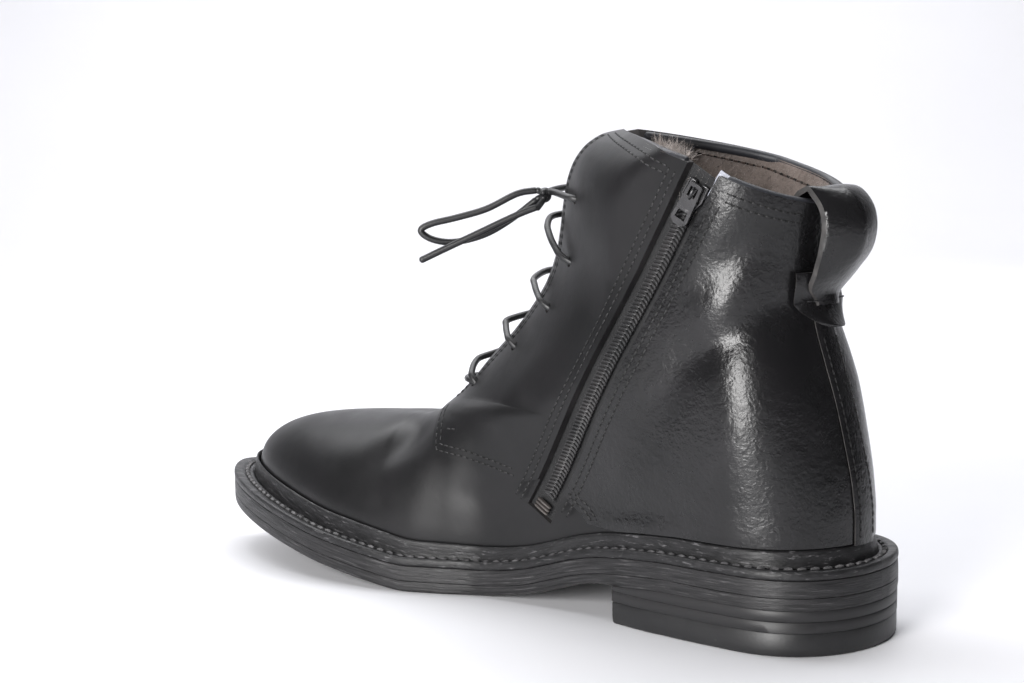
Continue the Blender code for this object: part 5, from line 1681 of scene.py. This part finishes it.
def material(name, colour, roughness, **more):
    """A procedural surface. Colours and roughness vary between a pair of values by slow noise."""
    made, nodes, links, shader = blank(name)
    coordinates = nodes.new("ShaderNodeTexCoord")
    source = coordinates.outputs["UV" if more.get("uv") else "Object"]
    if more.get("stretch"):
        mapping = nodes.new("ShaderNodeMapping")
        mapping.inputs["Scale"].default_value = more["stretch"]
        links.new(source, mapping.inputs["Vector"])
        source = mapping.outputs["Vector"]

    def noise(scale, detail=4.0, kind="ShaderNodeTexNoise", rough=0.55):
        node = nodes.new(kind)
        node.inputs["Scale"].default_value = scale
        if kind == "ShaderNodeTexNoise":
            node.inputs["Detail"].default_value = detail
            node.inputs["Roughness"].default_value = rough
        links.new(source, node.inputs["Vector"])
        return node.outputs["Fac"] if kind == "ShaderNodeTexNoise" else node.outputs["Distance"]

    def ramp(value, low, high, a, b):
        node = nodes.new("ShaderNodeValToRGB")
        node.color_ramp.elements[0].position = low
        node.color_ramp.elements[1].position = high
        node.color_ramp.elements[0].color = (*a, 1.0) if len(a) == 3 else a
        node.color_ramp.elements[1].color = (*b, 1.0) if len(b) == 3 else b
        links.new(value, node.inputs["Fac"])
        return node.outputs["Color"]

    slow = noise(more.get("patch", 45.0), 5.0)
    base = ramp(slow, 0.35, 0.7, colour[0], colour[1])
    wear = more.get("wear")
    if wear:
        spots = noise(wear[0], 9.0, rough=0.72)
        mask = ramp(spots, wear[1], wear[1] + wear[2], (0, 0, 0), (1, 1, 1))
        mix = nodes.new("ShaderNodeMix")
        mix.data_type = "RGBA"
        links.new(mask, mix.inputs["Factor"])
        links.new(base, mix.inputs["A"])
        mix.inputs["B"].default_value = (*wear[3], 1.0)
        base = mix.outputs["Result"]
    links.new(base, shader.inputs["Base Color"])
    rough = ramp(noise(more.get("patch", 45.0) * 1.7, 6.0), 0.3, 0.75, (roughness[0],) * 3, (roughness[1],) * 3)
    links.new(rough, shader.inputs["Roughness"])
    last = None
    for kind, scale, strength, distance in more.get("bumps", ()):
        bump = nodes.new("ShaderNodeBump")
        bump.inputs["Strength"].default_value = strength
        bump.inputs["Distance"].default_value = distance * MM
        height = noise(scale, 6.0, "ShaderNodeTexVoronoi" if kind == "cells" else "ShaderNodeTexNoise")
        links.new(height, bump.inputs["Height"])
        if last:
            links.new(last, bump.inputs["Normal"])
        last = bump.outputs["Normal"]
    if last:
        links.new(last, shader.inputs["Normal"])
    shader.inputs["Metallic"].default_value = more.get("metal", 0.0)
    shader.inputs["Coat Weight"].default_value = more.get("coat", 0.0)
    shader.inputs["Coat Roughness"].default_value = 0.25
    shader.inputs["Specular IOR Level"].default_value = more.get("specular", 0.5)
    if more.get("sheen"):
        shader.inputs["Sheen Weight"].default_value = more["sheen"]
        shader.inputs["Sheen Roughness"].default_value = 0.5
    return made


vamp_leather = material("vamp_leather", ((0.0075, 0.0075, 0.008), (0.012, 0.0115, 0.0125)), (0.34, 0.44), specular=0.32,
                        bumps=(("noise", 1500.0, 0.16, 0.10), ("noise", 260.0, 0.10, 0.25), ("noise", 60.0, 0.15, 0.6)),
                        wear=(160.0, 0.66, 0.16, (0.030, 0.029, 0.030)))
front_leather = material("front_leather", ((0.0075, 0.0075, 0.008), (0.012, 0.0115, 0.0125)), (0.34, 0.45), specular=0.32,
                         bumps=(("noise", 1500.0, 0.16, 0.10), ("noise", 240.0, 0.12, 0.28), ("noise", 55.0, 0.2, 0.7)))
rear_leather = material("rear_leather", ((0.006, 0.006, 0.0065), (0.011, 0.0105, 0.0115)), (0.22, 0.32), specular=0.45,
                        bumps=(("cells", 1100.0, 0.25, 0.14), ("noise", 520.0, 0.42, 0.55), ("noise", 150.0, 0.25, 1.1)),
                        wear=(200.0, 0.68, 0.14, (0.028, 0.027, 0.027)))
rim_leather = material("rim_leather", ((0.010, 0.010, 0.012), (0.034, 0.036, 0.044)), (0.35, 0.55),
                       bumps=(("noise", 900.0, 0.3, 0.2),))
leather_edge = material("leather_edge", ((0.016, 0.015, 0.016), (0.05, 0.046, 0.046)), (0.5, 0.75),
                        bumps=(("noise", 1800.0, 0.4, 0.2),))
strap_edge = material("strap_edge", ((0.015, 0.014, 0.014), (0.06, 0.055, 0.054)), (0.5, 0.8), patch=200.0,
                      bumps=(("noise", 1800.0, 0.4, 0.2),))
sole_edge = material("sole_edge", ((0.007, 0.007, 0.0075), (0.030, 0.029, 0.031)), (0.34, 0.6), uv=True,
                     stretch=(1.0, 24.0, 1.0), patch=70.0, specular=0.4,
                     bumps=(("noise", 170.0, 0.6, 0.35), ("noise", 60.0, 0.4, 0.5)),
                     wear=(55.0, 0.56, 0.12, (0.10, 0.097, 0.10)))
welt_leather = material("welt_leather", ((0.007, 0.007, 0.0075), (0.020, 0.0195, 0.021)), (0.34, 0.55), specular=0.4, uv=True,
                        stretch=(1.0, 5.0, 1.0), patch=150.0,
                        bumps=(("noise", 700.0, 0.5, 0.25), ("noise", 200.0, 0.5, 0.5)),
                        wear=(170.0, 0.565, 0.10, (0.12, 0.117, 0.122)))
tread = material("tread", ((0.012, 0.012, 0.012), (0.022, 0.021, 0.021)), (0.55, 0.75),
                 bumps=(("noise", 700.0, 0.5, 0.3),), wear=(120.0, 0.58, 0.2, (0.06, 0.055, 0.05)))
rubber = material("rubber", ((0.009, 0.009, 0.010), (0.016, 0.016, 0.017)), (0.38, 0.5),
                  bumps=(("noise", 700.0, 0.25, 0.2),), wear=(140.0, 0.64, 0.16, (0.05, 0.05, 0.05)))
fleece = material("fleece", ((0.15, 0.12, 0.105), (0.25, 0.205, 0.185)), (0.85, 1.0), patch=160.0,
                  bumps=(("noise", 900.0, 1.0, 0.6), ("noise", 250.0, 0.7, 0.8)), sheen=0.4)
wool = material("wool", ((0.20, 0.165, 0.145), (0.42, 0.38, 0.36)), (0.8, 1.0), patch=120.0, sheen=0.5)
tape = material("tape", ((0.010, 0.010, 0.011), (0.018, 0.018, 0.019)), (0.7, 0.9),
                bumps=(("cells", 1700.0, 0.8, 0.25),))
pale_cloth = material("pale_cloth", ((0.30, 0.31, 0.36), (0.46, 0.47, 0.53)), (0.8, 1.0), bumps=(("cells", 1500.0, 0.6, 0.2),))
coil = material("coil", ((0.020, 0.020, 0.021), (0.05, 0.047, 0.048)), (0.30, 0.45), bumps=(("noise", 2500.0, 0.2, 0.08),))
stop_metal = material("stop_metal", ((0.10, 0.09, 0.085), (0.20, 0.18, 0.17)), (0.3, 0.5), metal=0.7,
                      bumps=(("noise", 1200.0, 0.3, 0.15),))
dark_metal = material("dark_metal", ((0.04, 0.04, 0.042), (0.10, 0.098, 0.10)), (0.20, 0.38), metal=0.85,
                      bumps=(("noise", 900.0, 0.12, 0.12),), wear=(350.0, 0.62, 0.12, (0.30, 0.29, 0.29)))
lace = material("lace", ((0.008, 0.008, 0.009), (0.018, 0.018, 0.019)), (0.32, 0.5), bumps=(("noise", 2600.0, 0.4, 0.12),))
thread = material("thread", ((0.006, 0.006, 0.0065), (0.016, 0.0155, 0.0165)), (0.5, 0.7), bumps=(("noise", 4000.0, 0.5, 0.1),))
worn_thread = material("worn_thread", ((0.02, 0.02, 0.021), (0.16, 0.155, 0.16)), (0.5, 0.75), patch=420.0,
                       bumps=(("noise", 3000.0, 0.8, 0.25),))
brown_thread = material("brown_thread", ((0.035, 0.022, 0.018), (0.06, 0.038, 0.03)), (0.6, 0.8))
# Near-black, matt discs at the ends of each stitch: painted shade in the needle holes.
hole_dark = material("hole_dark", ((0.002, 0.002, 0.002), (0.004, 0.004, 0.004)), (0.9, 1.0))
floor_paint = material("floor_paint", ((0.80, 0.80, 0.825), (0.82, 0.82, 0.845)), (0.5, 0.6), patch=3.0,
                       bumps=(("noise", 300.0, 0.05, 0.1),))

camera_()
skin = Skin()
build_lace(skin)
build_sole()
build_leather(skin)
build_zip(skin)
build_tufts(skin)
studio()
